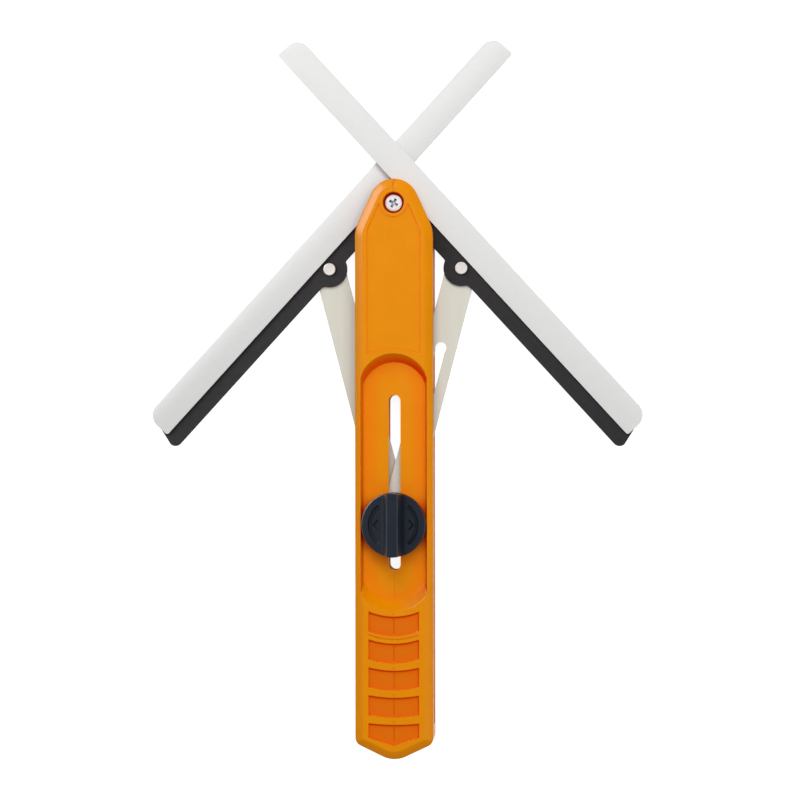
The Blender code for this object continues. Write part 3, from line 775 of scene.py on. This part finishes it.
# %% Sizes of the handle
nose_taper = math.radians(24.7)
nose_radius = nose_y
shoulder_radius = 18.0 * MM
tail_slant = math.radians(25.4)
tail_corner_radius = 4.4 * MM
tail_tip_radius = 13.0 * MM
edge_round_width = 4.1 * MM
edge_round_height = 2.9 * MM
edge_softness = 1.7
joint_half_gap = 0.15 * MM
joint_edge = 0.12 * MM
running_gap = 0.3 * MM
stack_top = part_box("front_blade")[1].z + running_gap
stack_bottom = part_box("rear_link")[0].z - running_gap
track_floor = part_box("clamp_washer")[0].z - running_gap
tail_block = tail_y + 16.3 * MM
slot_half_width = 2.9 * MM
slot_top = -93.6 * MM
slot_bottom = -179.4 * MM
track_beyond_slot = 20.2 * MM
track_top = slot_top + track_beyond_slot
track_bottom = slot_bottom - track_beyond_slot
track_half_width = 16.3 * MM
track_draft = 1.0 * MM
track_top_slope = 4.3 * MM
track_bottom_slope = 5.7 * MM
track_top_radius = 17.2 * MM
track_bottom_radius = 18.6 * MM
track_floor_round = 0.6 * MM
track_lip = 0.4 * MM
far = half_width + 4.0 * MM
print("track from", track_top, "to", track_bottom)


# %% Body of a shell
def handle_corners(inset):
    """Corners of the handle's outline, or of a parallel one set in from it."""
    half = half_width - inset
    apex = (nose_radius - inset) / math.sin(nose_taper)
    shoulder = apex - half / math.tan(nose_taper)
    tip_rise = (1 / math.cos(tail_slant) - 1) * tail_tip_radius
    point = tail_y - tip_rise + inset / math.cos(tail_slant)
    corner = point + half * math.tan(tail_slant)
    return [
        (0.0, apex, nose_radius - inset),
        (-half, shoulder, shoulder_radius - inset),
        (-half, corner, tail_corner_radius - inset),
        (0.0, point, tail_tip_radius - inset),
        (half, corner, tail_corner_radius - inset),
        (half, shoulder, shoulder_radius - inset),
    ]


def shell_form(name, finish, front, shrink=0.0):
    """Rings of the outline from the joint to the face, bridged.

    The edge follows a curve that is flatter than a quarter round, so that it reads as a broad
    chamfer with soft ends.
    """
    side = 1 if front else -1
    levels = [
        (joint_edge, joint_half_gap),
        (0.0, joint_half_gap + joint_edge),
        (0.0, mid_height - edge_round_height),
    ]
    round_steps = 10
    for step in range(1, round_steps + 1):
        angle = math.pi / 2 * step / round_steps
        rise = mid_height - edge_round_height * (1 - math.sin(angle) ** edge_softness)
        levels.append((edge_round_width * (1 - math.cos(angle) ** edge_softness), rise))
    data = bmesh.new()
    rings = []
    for inset, rise in levels:
        height = mid_height + side * (rise - shrink)
        rings.append(trace(data, handle_corners(inset + shrink), height, 14))
    return bridged(name, data, rings, finish)


print("corners of the handle:", len(handle_corners(0.0)))


# %% Clamp track, slot and arm gap
@outline
def track_ring(data, inset, slope, height):
    """The clamp track's outline this far down its sloping wall, from 0 at the face to 1."""
    half = track_half_width - inset
    top_radius = track_top_radius - inset
    bottom_radius = track_bottom_radius - inset
    top_turn = math.asin(half / top_radius)
    bottom_turn = math.asin(half / bottom_radius)
    top_centre = (0.0, track_top - track_top_slope * slope - top_radius)
    bottom_centre = (0.0, track_bottom + track_bottom_slope * slope + bottom_radius)
    right = (half, top_centre[1] + top_radius * math.cos(top_turn))
    left = (-half, bottom_centre[1] - bottom_radius * math.cos(bottom_turn))
    start = data.verts.new((*right, height))
    pen = stroke_round(data, start, top_centre, 2 * top_turn, 28)
    pen = stroke_to(data, pen, *left)
    pen = stroke_round(data, pen, bottom_centre, 2 * bottom_turn, 28)
    return pen, start


def track_cutter(name, front):
    """The track's hollow, rounded at its floor and flared at the face."""
    depth = face_height - track_floor
    quarter = [math.pi / 2 * step / 4 for step in range(5)]
    levels = []
    for angle in quarter:
        rise = track_floor_round * (1 - math.cos(angle))
        levels.append((track_floor_round * (1 - math.sin(angle)), rise))
    for angle in quarter:
        rise = depth - track_lip + track_lip * math.sin(angle)
        levels.append((-track_lip * (1 - math.cos(angle)), rise))
    levels.append((-track_lip, depth + 2 * past))
    data = bmesh.new()
    rings = []
    for extra, height in levels:
        down = 1 - min(height / depth, 1.0)
        z = track_floor + height
        if not front:
            z = face_height - z
        rings.append(track_ring(data, track_draft * down + extra, down, z))
    return bridged(name, data, rings)


def slot_cutter(name):
    corners = rectangle(slot_half_width, slot_bottom, slot_top, slot_half_width * 0.999)
    return block(name, corners, -4 * past, face_height + 4 * past, 10)


def gap_cutter(name, front):
    """The opening in the joint where the arms swing out."""
    corners = rectangle(far, tail_block, nose_y + 4 * past)
    if front:
        return block(name, corners, mid_height - past, stack_top)
    return block(name, corners, stack_bottom, mid_height + past)


print("slot", round((slot_top - slot_bottom) / MM, 1), "mm long")

# %% [markdown]
# ## Panel, pivot well, grip and centre line
#
# The label panel is only a third of a millimetre deep, but its edge draws the long bright line
# down the handle. The grip pockets sag less and less towards the tail, and the last one ends in
# a point. A fine line marks the middle of the tool on the nose, in the track and in each pocket.

# %% Sizes of the details
panel_depth = 0.35 * MM
panel_half_width = 12.8 * MM
panel_top_half_width = 7.2 * MM
panel_shoulder = -13.5 * MM
panel_top = -0.8 * MM
panel_foot = track_top + 2.2 * MM
panel_arch_radius = 41.0 * MM
well_radius = 5.1 * MM
well_ring_radius = 6.7 * MM
well_floor = stack_top + 3.2 * MM
grip_count = 5
grip_pitch = 13.6 * MM
grip_half_width = 12.3 * MM
grip_start = track_bottom + 0.5 * MM
pocket_length = 9.6 * MM
pocket_depth = 1.4 * MM
first_sag = 2.5 * MM
sag_step = 0.45 * MM
last_point_drop = 4.1 * MM
last_side_share = 0.72
pocket_draft = 0.42 * MM
pocket_lean = (-0.26 * MM, -0.3 * MM)
rib_groove_drop = 1.5 * MM
rib_groove_width = 0.45 * MM
rib_groove_depth = 0.35 * MM
shell_wall = 3.8 * MM
rib_thickness = 2.0 * MM
cell_start = -13.8 * MM
cell_depth = face_height - 2.2 * MM - pocket_depth
cell_corner_radius = 1.5 * MM
tail_shank_radius = 1.5 * MM + running_gap
tail_head_radius = 2.8 * MM + running_gap
tail_head_top = 4.1 * MM + running_gap
pivot_shank_radius = 2.0 * MM + running_gap
nut_pocket_radius = (3.5 * MM + running_gap) / math.cos(math.pi / 6)
line_width = 0.34 * MM
line_depth = 0.3 * MM
pocket_line_ends = (1.2 * MM, 1.4 * MM)
# How far each recess flares at the face, and the rounding at its floor
panel_edges = (0.29 * MM, 0.05 * MM)
ring_edges = (0.1 * MM, 0.1 * MM)
well_edges = (0.35 * MM, 0.1 * MM)
groove_edges = (0.1 * MM, 0.05 * MM)
pocket_edges = (0.12 * MM, 0.12 * MM)
screw_head_edges = (0.25 * MM, 0.1 * MM)
grip_line_width = 0.6 * MM
grip_line_depth = 0.8 * MM
rib_mark_depth = 0.6 * MM
rib_mark_rise = 1.8 * MM
rib_mark_length = 1.1 * MM
nose_line_width = 0.24 * MM
nose_line_depth = 0.14 * MM
print("well floor at", round(well_floor / MM, 2), "mm")


# %% Outlines of the details
@outline
def draw_panel(data, height):
    """Bottom arch by one spin, then the sides up to the pivot's ring."""
    turn = math.asin(panel_half_width / panel_arch_radius)
    centre = (0.0, panel_foot - panel_arch_radius)
    low = panel_foot - panel_arch_radius * (1 - math.cos(turn))
    start = data.verts.new((-panel_half_width, low, height))
    pen = stroke_round(data, start, centre, -2 * turn, 20)
    for x, y in (
        (panel_half_width, panel_shoulder),
        (panel_top_half_width, panel_top),
        (-panel_top_half_width, panel_top),
        (-panel_half_width, panel_shoulder),
    ):
        pen = stroke_to(data, pen, x, y)
    return pen, start


def draw_band(edge_y, sag, length, pointed=False):
    """The outline of a sagging band across the grip, as a function of its height."""
    half = grip_half_width
    radius = (half**2 + sag**2) / (2 * sag)
    turn = math.asin(half / radius)

    @outline
    def draw(data, height):
        start = data.verts.new((half, edge_y, height))
        pen = stroke_round(data, start, (0.0, edge_y - sag + radius), -2 * turn, 16)
        if pointed:
            foot_y = edge_y - length * last_side_share
            for x, y in ((-half, foot_y), (0.0, foot_y - last_point_drop), (half, foot_y)):
                pen = stroke_to(data, pen, x, y)
        else:
            low_y = edge_y - length
            pen = stroke_to(data, pen, -half, low_y)
            pen = stroke_round(data, pen, (0.0, low_y - sag + radius), 2 * turn, 16)
        return pen, start

    return draw


def pocket_edge(index):
    """Where the upper edge of a pocket starts, and how far it sags."""
    return grip_start - index * grip_pitch, first_sag - index * sag_step


def draw_pocket(index):
    """One grip pocket, of which the last ends in a point."""
    return draw_band(*pocket_edge(index), pocket_length, index == grip_count - 1)


def draw_circle(radius, centre=(0.0, 0.0), steps=64):
    def draw(data, height):
        ring = bmesh.ops.create_circle(data, segments=steps, radius=radius)
        bmesh.ops.translate(data, verts=ring["verts"], vec=(*centre, height))
        return list({edge for vert in ring["verts"] for edge in vert.link_edges})

    return draw


print("pocket edges:", [round(pocket_edge(index)[0] / MM, 1) for index in range(grip_count)])


# %% Pegs, cells and lines
def peg(name, radius, place, low, high, steps=48, turn=0.0):
    """A round or many sided cutter between two heights."""
    data = bmesh.new()
    base = filled(data, draw_circle(radius, steps=steps)(data, low))
    raised(data, base, high - low)
    data.transform(Matrix.Translation((*place, 0.0)) @ Matrix.Rotation(turn, 4, "Z"))
    return made(name, data)


def hole(name, radius, place, low, high):
    """A cutter for a round hole right through a piece."""
    return peg(name, radius, place, low - past, high + past)


def cell_cutters(label, front):
    """The hollows that a moulding is cored with from inside, with ribs between them."""
    low, high = face_height - cell_depth, stack_bottom + past
    if front:
        low, high = stack_top - past, cell_depth
    nose = (cell_start, track_top + shell_wall, 2)
    grip = (track_bottom - shell_wall, tail_block + rib_thickness, 3)
    cutters = []
    for start, end, count in (nose, grip):
        length = (start - end - rib_thickness * (count - 1)) / count
        for index in range(count):
            top = start - index * (length + rib_thickness)
            corners = rectangle(half_width - shell_wall, top - length, top, cell_corner_radius)
            cutters.append(block(f"{label}_cell_{len(cutters) + 1}", corners, low, high, 3))
    return cutters


def line_cutter(name, start, end, surface, half=line_width, depth=line_depth):
    """A V groove along the middle of the handle."""
    data = bmesh.new()
    section = ((-half, surface + depth), (half, surface + depth), (0, surface - depth))
    corners = [data.verts.new((x, start, z)) for x, z in section]
    raised(data, data.faces.new(corners), 0.0, end - start)
    return made(name, data)


def nose_line_cutter():
    """A thin slab over the nose, less a slightly smaller nose, so the line follows the curve."""
    corners = rectangle(nose_line_width / 2, well_radius - past, nose_y + 2 * past)
    slab = block("nose_line", corners, stack_top - 2 * past, face_height + 2 * past)
    core = shell_form("nose_core", None, True, nose_line_depth)
    return cut(slab, [core])


def tail_screw_places():
    return [middle_of(name).xy for name in ("tail_screw_left", "tail_screw_right")]


print("tail screws at", [tuple(place) for place in tail_screw_places()])


# %% What both shells share
def common_cutters(front):
    """Arm gap, track, slot, grip pockets and cells."""
    label = "front" if front else "rear"
    cutters = [gap_cutter(label + "_gap", front), track_cutter(label + "_track", front)]
    cutters.append(slot_cutter(label + "_slot"))
    floor = face_height - pocket_depth
    edges = (*pocket_edges, pocket_draft)
    for index in range(grip_count):
        name = f"{label}_pocket_{index + 1}"
        draw = draw_pocket(index)
        cutters.append(recess(name, draw, floor, face_height, *edges, not front, pocket_lean))
    return cutters + cell_cutters(label, front)


print("both shells have", grip_count, "pockets")


# %% Details of the front shell
def grip_lines():
    """The middle line in each pocket, and the notches in the ribs."""
    lines = []
    for index in range(grip_count):
        top, sag = pocket_edge(index)
        first = top - sag - pocket_line_ends[0]
        last = top - sag - pocket_length + pocket_line_ends[1]
        floor = face_height - pocket_depth
        name = f"line_pocket_{index + 1}"
        lines.append(line_cutter(name, first, last, floor, grip_line_width, grip_line_depth))
        if index != 1:
            mark = top - sag + rib_mark_rise
            ends = (mark, mark - rib_mark_length)
            name = f"line_rib_{index + 1}"
            lines.append(line_cutter(name, *ends, face_height, grip_line_width, rib_mark_depth))
    return lines


def panel_cutter():
    """The label panel, less the ring that stands round the pivot's well."""
    floor = face_height - panel_depth
    panel = recess("panel", draw_panel, floor, face_height, *panel_edges)
    ring = draw_circle(well_ring_radius)
    low, high = face_height - 3 * past, face_height + 3 * past
    return cut(panel, [recess("well_ring", ring, low, high, *ring_edges)])


def front_cutters():
    panel = panel_cutter()
    well_line = draw_circle(well_radius)
    well = recess("well", well_line, well_floor, face_height, *well_edges)
    groove_start = grip_start - pocket_length - rib_groove_drop
    groove_line = draw_band(groove_start, first_sag - sag_step / 2, rib_groove_width)
    groove_floor = face_height - rib_groove_depth
    groove = recess("rib_groove", groove_line, groove_floor, face_height, *groove_edges)
    slope_foot = track_top - track_top_slope - 1.0 * MM
    track_end = track_bottom + track_bottom_slope + 1.5 * MM
    cutters = [
        panel,
        well,
        groove,
        nose_line_cutter(),
        line_cutter("line_track_top", slope_foot, slot_top + 6.0 * MM, track_floor),
        line_cutter("line_track_foot", slot_bottom - 1.0 * MM, track_end, track_floor),
        *grip_lines(),
        peg("pivot_hole", pivot_shank_radius, (0.0, 0.0), mid_height, face_height),
    ]
    screw_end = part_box("tail_screw_left")[1].z + running_gap
    for index, place in enumerate(tail_screw_places()):
        name = f"tail_pilot_{index + 1}"
        cutters.append(peg(name, tail_shank_radius, place, mid_height - past, screw_end))
    return cutters


print("notches in", grip_count - 1, "ribs")


# %% Details of the rear shell
def rear_cutters():
    """The nut's pocket, the end of the pivot screw and the stepped holes of the tail screws."""
    nut_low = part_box("pivot_nut")[0].z - running_gap
    screw_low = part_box("pivot_screw")[0].z - running_gap
    hexagon = (6, math.radians(30.0))
    cutters = [
        peg("nut_pocket", nut_pocket_radius, (0.0, 0.0), nut_low, mid_height, *hexagon),
        peg("screw_end", pivot_shank_radius, (0.0, 0.0), screw_low, mid_height),
    ]
    floor = face_height - tail_head_top
    edges = (*screw_head_edges, 0.0, True)
    for index, place in enumerate(tail_screw_places()):
        name = f"tail_hole_{index + 1}"
        cutters.append(peg(name, tail_shank_radius, place, -past, mid_height + past))
        head = draw_circle(tail_head_radius, place)
        cutters.append(recess(f"tail_head_{index + 1}", head, floor, face_height, *edges))
    return cutters


print("nut pocket", round(nut_pocket_radius / MM, 2), "mm to its corners")

# %% Cut the shells
for label, front, own_cutters in (("front", True, front_cutters), ("rear", False, rear_cutters)):
    shell = shell_form(f"{label}_shell_skin", orange_plastic, front)
    cut(shell, common_cutters(front) + own_cutters())
    stand_for(shell, "handle", f"{label}_shell")
    print(label, "shell", len(shell.data.polygons), "faces")

# %% [markdown]
# ## Arms
#
# Each arm is a white blade riveted to a black carrier, and both are laser cut or stamped sheet a
# millimetre thick. The outline is drawn in the arm's own direction, with the joint at the origin
# and the arm running down, and only then turned to the angle at which the tool lies.

# %% Sizes of the arms
blade_angle = -math.radians(swing["range_deg"][0])
blade_width = 13.9 * MM
blade_offset = 7.25 * MM
blade_overhang = 93.6 * MM
blade_length = 253.8 * MM
blade_outer_radius = 7.0 * MM
blade_inner_radius = 1.2 * MM
rail_inner = -0.5 * MM
rail_outer = 16.25 * MM
rail_length = 162.6 * MM
rail_tip_radius = 3.6 * MM
hub_radius = 8.6 * MM
boss_radius = 8.8 * MM
rivet_along = -45.3 * MM
rivet_across = 2.8 * MM
hub_hole_radius = 3.6 * MM
sheet_edge = 0.09 * MM
rivet_shank_radius = 1.7 * MM
rivet_head_radius = 3.0 * MM
rivet_head_height = 0.3 * MM
rivet_face_radius = 2.75 * MM
rivet_lip_radius = 2.4 * MM
rivet_dish_radius = 2.1 * MM
rivet_dish = 0.07 * MM
rivet_hole_radius = 2.0 * MM
rail_head = 2.0 * MM
hub_corner = 5.0 * MM
rail_fillet = 3.0 * MM
boss_fillet = 1.2 * MM
print("arms at", round(math.degrees(blade_angle), 2), "degrees")


# %% Flat pieces with broken edges
def sheet(name, draw, low, high, finish):
    """A piece of sheet: an outline raised to its thickness, with its rims bevelled."""
    data = bmesh.new()
    raised(data, filled(data, draw(data, low)), high - low)
    bmesh.ops.recalc_face_normals(data, faces=data.faces)
    level = [face for face in data.faces if abs(face.normal.z) > 0.9]
    rims = list({rim for face in level for rim in face.edges})
    bmesh.ops.bevel(
        data,
        geom=rims,
        offset=sheet_edge,
        offset_type="OFFSET",
        affect="EDGES",
        segments=2,
        profile=0.5,
        material=-1,
    )
    return made(name, data, finish)


def placed(piece, turn, place=(0.0, 0.0, 0.0)):
    """Turn a finished mesh about Z and move it, so that its object can stay at the origin."""
    piece.data.transform(Matrix.Translation(place) @ Matrix.Rotation(turn, 4, "Z"))


print("sheet edges broken by", sheet_edge, "m")


# %% Outlines of the arms
def fillet_centre(centre, radius, fillet, side):
    """Centre of a fillet between the rail's inner edge and a circle, above or below it."""
    x = rail_inner - fillet
    rise = math.sqrt((radius + fillet) ** 2 - (centre[0] - x) ** 2)
    return x, centre[1] + side * rise


def towards(start, end, distance):
    """The point this far from the first on the way to the second."""
    return Vector(start) + (Vector(end) - Vector(start)).normalized() * distance


def spin_between(data, pen, centre, target, direction, steps):
    """Spin the last point round a centre until it points at the target."""
    first = pen.co.xy - Vector(centre)
    last = Vector(target) - Vector(centre)
    turn = math.atan2(first.x * last.y - first.y * last.x, first.dot(last))
    if direction * turn < 0:
        turn += direction * 2 * math.pi
    return stroke_round(data, pen, centre, turn, steps)


def draw_rail(side):
    """The carrier: hub on the joint, boss at the rivet and a long rail, by spins and strokes."""
    hub, boss = (0.0, 0.0), (rivet_across, rivet_along)
    hub_foot = fillet_centre(hub, hub_radius, rail_fillet, -1)
    boss_head = fillet_centre(boss, boss_radius, boss_fillet, 1)
    boss_foot = fillet_centre(boss, boss_radius, rail_fillet, -1)
    tip = (rail_inner + rail_tip_radius, -rail_length + rail_tip_radius)

    @outline
    def draw(data, height):
        start = data.verts.new((rail_outer, rail_head, height))
        pen = stroke_to(data, start, hub_corner, math.sqrt(hub_radius**2 - hub_corner**2))
        pen = spin_between(data, pen, hub, towards(hub, hub_foot, hub_radius), 1, 24)
        pen = spin_between(data, pen, hub_foot, (rail_inner, hub_foot[1]), -1, 6)
        pen = stroke_to(data, pen, rail_inner, boss_head[1])
        pen = spin_between(data, pen, boss_head, towards(boss, boss_head, boss_radius), -1, 6)
        pen = spin_between(data, pen, boss, towards(boss, boss_foot, boss_radius), 1, 28)
        pen = spin_between(data, pen, boss_foot, (rail_inner, boss_foot[1]), -1, 8)
        pen = stroke_to(data, pen, rail_inner, tip[1])
        pen = spin_between(data, pen, tip, (tip[0], -rail_length), 1, 10)
        pen = stroke_to(data, pen, rail_outer, tip[1])
        if side < 0:
            bmesh.ops.scale(data, verts=data.verts, vec=(-1.0, 1.0, 1.0))
        return pen, start

    return draw


def blade_corners(side):
    inner, outer = blade_offset, blade_offset + blade_width
    low = blade_overhang - blade_length
    corners = [
        (side * inner, blade_overhang, blade_inner_radius),
        (side * inner, low, blade_inner_radius),
        (side * outer, low, blade_outer_radius),
        (side * outer, blade_overhang, blade_outer_radius),
    ]
    return corners if side > 0 else corners[::-1]


print("blade corners:", len(blade_corners(1)))


# %% Arms
def rivet_profile(low, rail_top, top):
    """Shank in the carrier, and a head that is slightly dished."""
    shank, head = rivet_shank_radius, rivet_head_radius
    return [
        (0.0, low, 0),
        (shank, low, 0),
        (shank, rail_top, 0),
        (head, rail_top + rivet_head_height, 0),
        (head, top - rivet_head_height, 0),
        (rivet_face_radius, top, 0.12 * MM),
        (rivet_lip_radius, top, 0.15 * MM),
        (rivet_dish_radius, top - rivet_dish, 0.2 * MM),
        (0.0, top - rivet_dish, 0),
    ]


def arm(label, side):
    """Blade, carrier and rivet of one arm."""
    blade_low, blade_high = (corner.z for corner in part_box(label + "_blade"))
    rail_low, rail_high = (corner.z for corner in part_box(label + "_arm_rail"))
    rivet_place = (side * rivet_across, rivet_along)

    def draw_blade(data, height):
        return trace(data, blade_corners(side), height, 12)

    blade = sheet(label + "_blade_skin", draw_blade, blade_low, blade_high, white_enamel)
    rail = sheet(label + "_rail_skin", draw_rail(side), rail_low, rail_high, black_steel)
    holes = [
        hole(label + "_hub_hole", hub_hole_radius, (0.0, 0.0), rail_low, rail_high),
        hole(label + "_rivet_hole", rivet_hole_radius, rivet_place, rail_low, rail_high),
    ]
    cut(rail, holes)
    profile = rivet_profile(rail_low, rail_high, blade_high)
    rivet = turned(label + "_rivet_skin", profile, rivet_steel, rivet_place, 64)
    for piece, node in ((blade, "_blade"), (rail, "_arm_rail"), (rivet, "_rivet")):
        placed(piece, side * blade_angle)
        stand_for(piece, label + "_arm", label + node)


arm("front", 1)
arm("rear", -1)
print("blades", round(blade_length / MM, 1), "mm long")

# %% [markdown]
# ## Links
#
# A link is a strip with round ends, from the clamp to the rivet of an arm. The front one has a
# keyhole, a round hole that runs on as a long slot, so that it can be hooked off for storage.

# %% Links
link_half_width = 7.6 * MM
keyhole_from_rivet = 40.3 * MM
keyhole_radius = 2.75 * MM
keyway_half_width = 2.35 * MM
keyway_end = 104.0 * MM
link_bolt_radius = 2.8 * MM
link_end_radius = 2.75 * MM
round_end = 0.9995


def strip(half, low, high):
    """A strip along Y with round ends."""
    return rectangle(half, low, high, half * round_end)


def link(label, keyhole):
    low, high = (corner.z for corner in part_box(label + "_link"))
    rivet = middle_of(label + "_rivet_cap").xy - clamp_place.xy
    length = rivet.length

    def draw(data, height):
        corners = strip(link_half_width, -link_half_width, length + link_half_width)
        return trace(data, corners, height, 16)

    piece = sheet(label + "_link_skin", draw, low, high, bare_steel)
    cutters = [
        hole(label + "_bolt_hole", link_bolt_radius, (0.0, 0.0), low, high),
        hole(label + "_end_hole", link_end_radius, (0.0, length), low, high),
    ]
    if keyhole:
        bulb = length - keyhole_from_rivet
        cutters.append(hole("keyhole_bulb", keyhole_radius, (0.0, bulb), low, high))
        corners = strip(keyway_half_width, length - keyway_end, bulb)
        cutters.append(block("keyway", corners, low - past, high + past, 12))
    cut(piece, cutters)
    placed(piece, -math.atan2(rivet.x, rivet.y), (*clamp_place.xy, 0.0))
    stand_for(piece, label + "_link", label + "_link")
    return round(length / MM, 2)


print("link lengths", link("front", True), link("rear", False), "mm")

# %% [markdown]
# ## Knob
#
# The knob is turned by a tall bar with sloping sides. Its rim is finely toothed, and its face has
# two shallow arcs and two plain arrows.

# %% Sizes of the knob
knob_tooth_count = 96
knob_radius = 15.7 * MM
knob_tooth_depth = 0.2 * MM
knob_collar_radius = 11.0 * MM
knob_face_depth = 0.6 * MM
knob_arc_radius = 11.9 * MM
bar_top_half = 2.65 * MM
bar_base_half = 4.8 * MM
bar_foot = 0.6 * MM
bar_edge = 0.75 * MM
bar_bedding = 0.5 * MM
bar_inset = 0.35 * MM
rim_rise = 2.3 * MM
rim_height = 4.4 * MM
rim_chamfer = 0.5 * MM
arc_sweep = math.radians(104.0)
arc_width = 0.95 * MM
fine_arc_inset = 1.15 * MM
fine_arc_width = 0.45 * MM
fine_arc_depth = 0.3 * MM
arrow_tip = 10.2 * MM
arrow_arm = 2.3 * MM
arrow_width = 0.8 * MM
arrow_notch = 1.4
bore_radius = 4.3 * MM
print("knob", round(2 * knob_radius / MM, 1), "mm across")


# %% Rim and bar of the knob
def toothed_rim(low, high, chamfer):
    """A circle whose points are drawn in by turns, raised and bevelled."""
    data = bmesh.new()
    steps = knob_tooth_count * 4
    ring = bmesh.ops.create_circle(data, segments=steps, radius=knob_radius)["verts"]
    bmesh.ops.translate(data, verts=ring, vec=(0.0, 0.0, low))
    valleys = [vert for index, vert in enumerate(ring) if index % 4 == 0]
    shrink = 1 - knob_tooth_depth / knob_radius
    bmesh.ops.scale(data, verts=valleys, vec=(shrink, shrink, 1.0))
    base = filled(data, list(data.edges))
    top = raised(data, base, high - low - chamfer)
    bmesh.ops.recalc_face_normals(data, faces=data.faces)
    stepped(data, top, rolled(chamfer, 3))
    return made("knob_skin", data, black_plastic)


def knob_bar(low, high):
    """The bar's section, drawn with rounded corners and extruded along the bar."""
    data = bmesh.new()
    reach = knob_radius + 1.0 * MM
    corners = [
        (bar_base_half + bar_foot, low, 0),
        (bar_base_half, low + 2 * bar_foot, bar_foot),
        (bar_top_half, high, bar_edge),
        (-bar_top_half, high, bar_edge),
        (-bar_base_half, low + 2 * bar_foot, bar_foot),
        (-bar_base_half - bar_foot, low, 0),
    ]
    section = filled(data, trace(data, corners, -reach, 6))
    raised(data, section, 2 * reach)
    rotated(data, math.pi / 2, "X")
    return made("knob_bar", data)


print(knob_tooth_count, "teeth on the rim")


# %% Grooves in the knob's face
def face_arc(side, radius, width, low, high):
    """A cutter for an arc shaped groove in the knob's face, swept by one spin."""
    data = bmesh.new()
    inner, outer = radius - width / 2, radius + width / 2
    corners = ((inner, low), (outer, low), (outer, high), (inner, high))
    section = data.faces.new([data.verts.new((x, 0.0, z)) for x, z in corners])
    rotated(data, -arc_sweep / 2 + (0.0 if side > 0 else math.pi), "Z")
    bmesh.ops.spin(
        data,
        geom=[section, *section.edges, *section.verts],
        cent=(0, 0, 0),
        axis=(0, 0, 1),
        angle=arc_sweep,
        steps=24,
    )
    return made("face_arc", data)


def face_arrow(side, low, high):
    """A cutter for a plain arrow head that points outwards."""
    tip = side * arrow_tip
    outer, inner = tip - side * arrow_arm, tip - side * (arrow_arm + arrow_width)
    corners = [
        (tip, 0.0, 0),
        (outer, arrow_arm, 0),
        (inner, arrow_arm, 0),
        (tip - side * arrow_width * arrow_notch, 0.0, 0),
        (inner, -arrow_arm, 0),
        (outer, -arrow_arm, 0),
    ]
    return block("face_arrow", corners, low, high)


def face_grooves(face):
    """For each side a broad arc, a fine one inside it and an arrow."""
    grooves = []
    high = face + past
    for side in (1, -1):
        arc = (side, knob_arc_radius, arc_width)
        fine = (side, knob_arc_radius - fine_arc_inset, fine_arc_width)
        grooves.append(face_arc(*arc, face - knob_face_depth, high))
        grooves.append(face_arc(*fine, face - fine_arc_depth, high))
        grooves.append(face_arrow(side, face - knob_face_depth, high))
    return grooves


print("arcs of", round(math.degrees(arc_sweep)), "degrees")


# %% Knob
def knob():
    """Rim, collar and bar joined to one piece, with its grooves and the bore for the insert."""
    low, high = (corner.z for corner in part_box("clamp_knob"))
    rim_low = low + rim_rise
    rim_high = rim_low + rim_height
    middle = (0.0, 0.0)
    body = toothed_rim(rim_low, rim_high, rim_chamfer)
    bar = knob_bar(rim_high - bar_bedding, high)
    trim = hole("bar_trim", knob_radius - bar_inset, middle, low, high)
    cut(bar, [trim], operation="INTERSECT")
    cut(body, [peg("collar", knob_collar_radius, middle, low, rim_low + past)], operation="UNION")
    cut(body, face_grooves(rim_high))
    cut(body, [bar], operation="UNION")
    bore_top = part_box("knob_insert")[1].z + running_gap
    cut(body, [peg("knob_bore", bore_radius, middle, low - 3 * past, bore_top)], sharp=30.0)
    placed(body, 0.0, (*clamp_place.xy, 0.0))
    stand_for(body, "knob", "clamp_knob")
    return body


knob_skin = knob()
print("knob", len(knob_skin.data.polygons), "faces")

# %% [markdown]
# ## Screw in the nose
#
# A pan head screw closes the joint. Its cross recess is two crossed wedges, and the plating is bright, so it
# mirrors the white room and the dark walls of its hole. The dark blue deep in the cross recess is painted shade.

# %% Screw
screw_shank_radius = 2.0 * MM
cross_turn = math.radians(61.0)
cross_reach = 0.58
cross_half = 0.17
cross_depth = 2.0 * MM
cross_taper = 0.45


def cross_wing(top, reach, half):
    """A wedge that narrows as it goes down."""
    data = bmesh.new()
    base = filled(data, trace(data, rectangle(reach, -half, half), top + 0.3 * MM))
    raised(data, base, 0.5 * MM)
    bmesh.ops.recalc_face_normals(data, faces=data.faces)
    stepped(data, base, [(half * cross_taper, cross_depth)])
    return made("cross_wing", data)


def pivot_screw():
    low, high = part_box("pivot_screw")
    seat = well_floor + running_gap
    radius = (high.x - low.x) / 2
    profile = [
        (0.0, low.z, 0),
        (screw_shank_radius, low.z, 0.2 * MM),
        (screw_shank_radius, seat, 0),
        (radius, seat, 0.1 * MM),
        (radius, seat + 0.8 * (high.z - seat), 0.4 * MM),
        (radius * 0.84, high.z - 0.1 * MM, 1.0 * MM),
        (0.0, high.z, 0),
    ]
    screw = turned("pivot_screw_skin", profile, zinc)
    wings = [cross_wing(high.z, radius * cross_reach, radius * cross_half) for _ in range(2)]
    for index, wing in enumerate(wings):
        placed(wing, cross_turn + math.pi / 2 * index)
    cut(screw, wings)
    stand_for(screw, "handle", "pivot_screw")
    return high.z


print("screw head", round(pivot_screw() / MM, 2), "mm up")
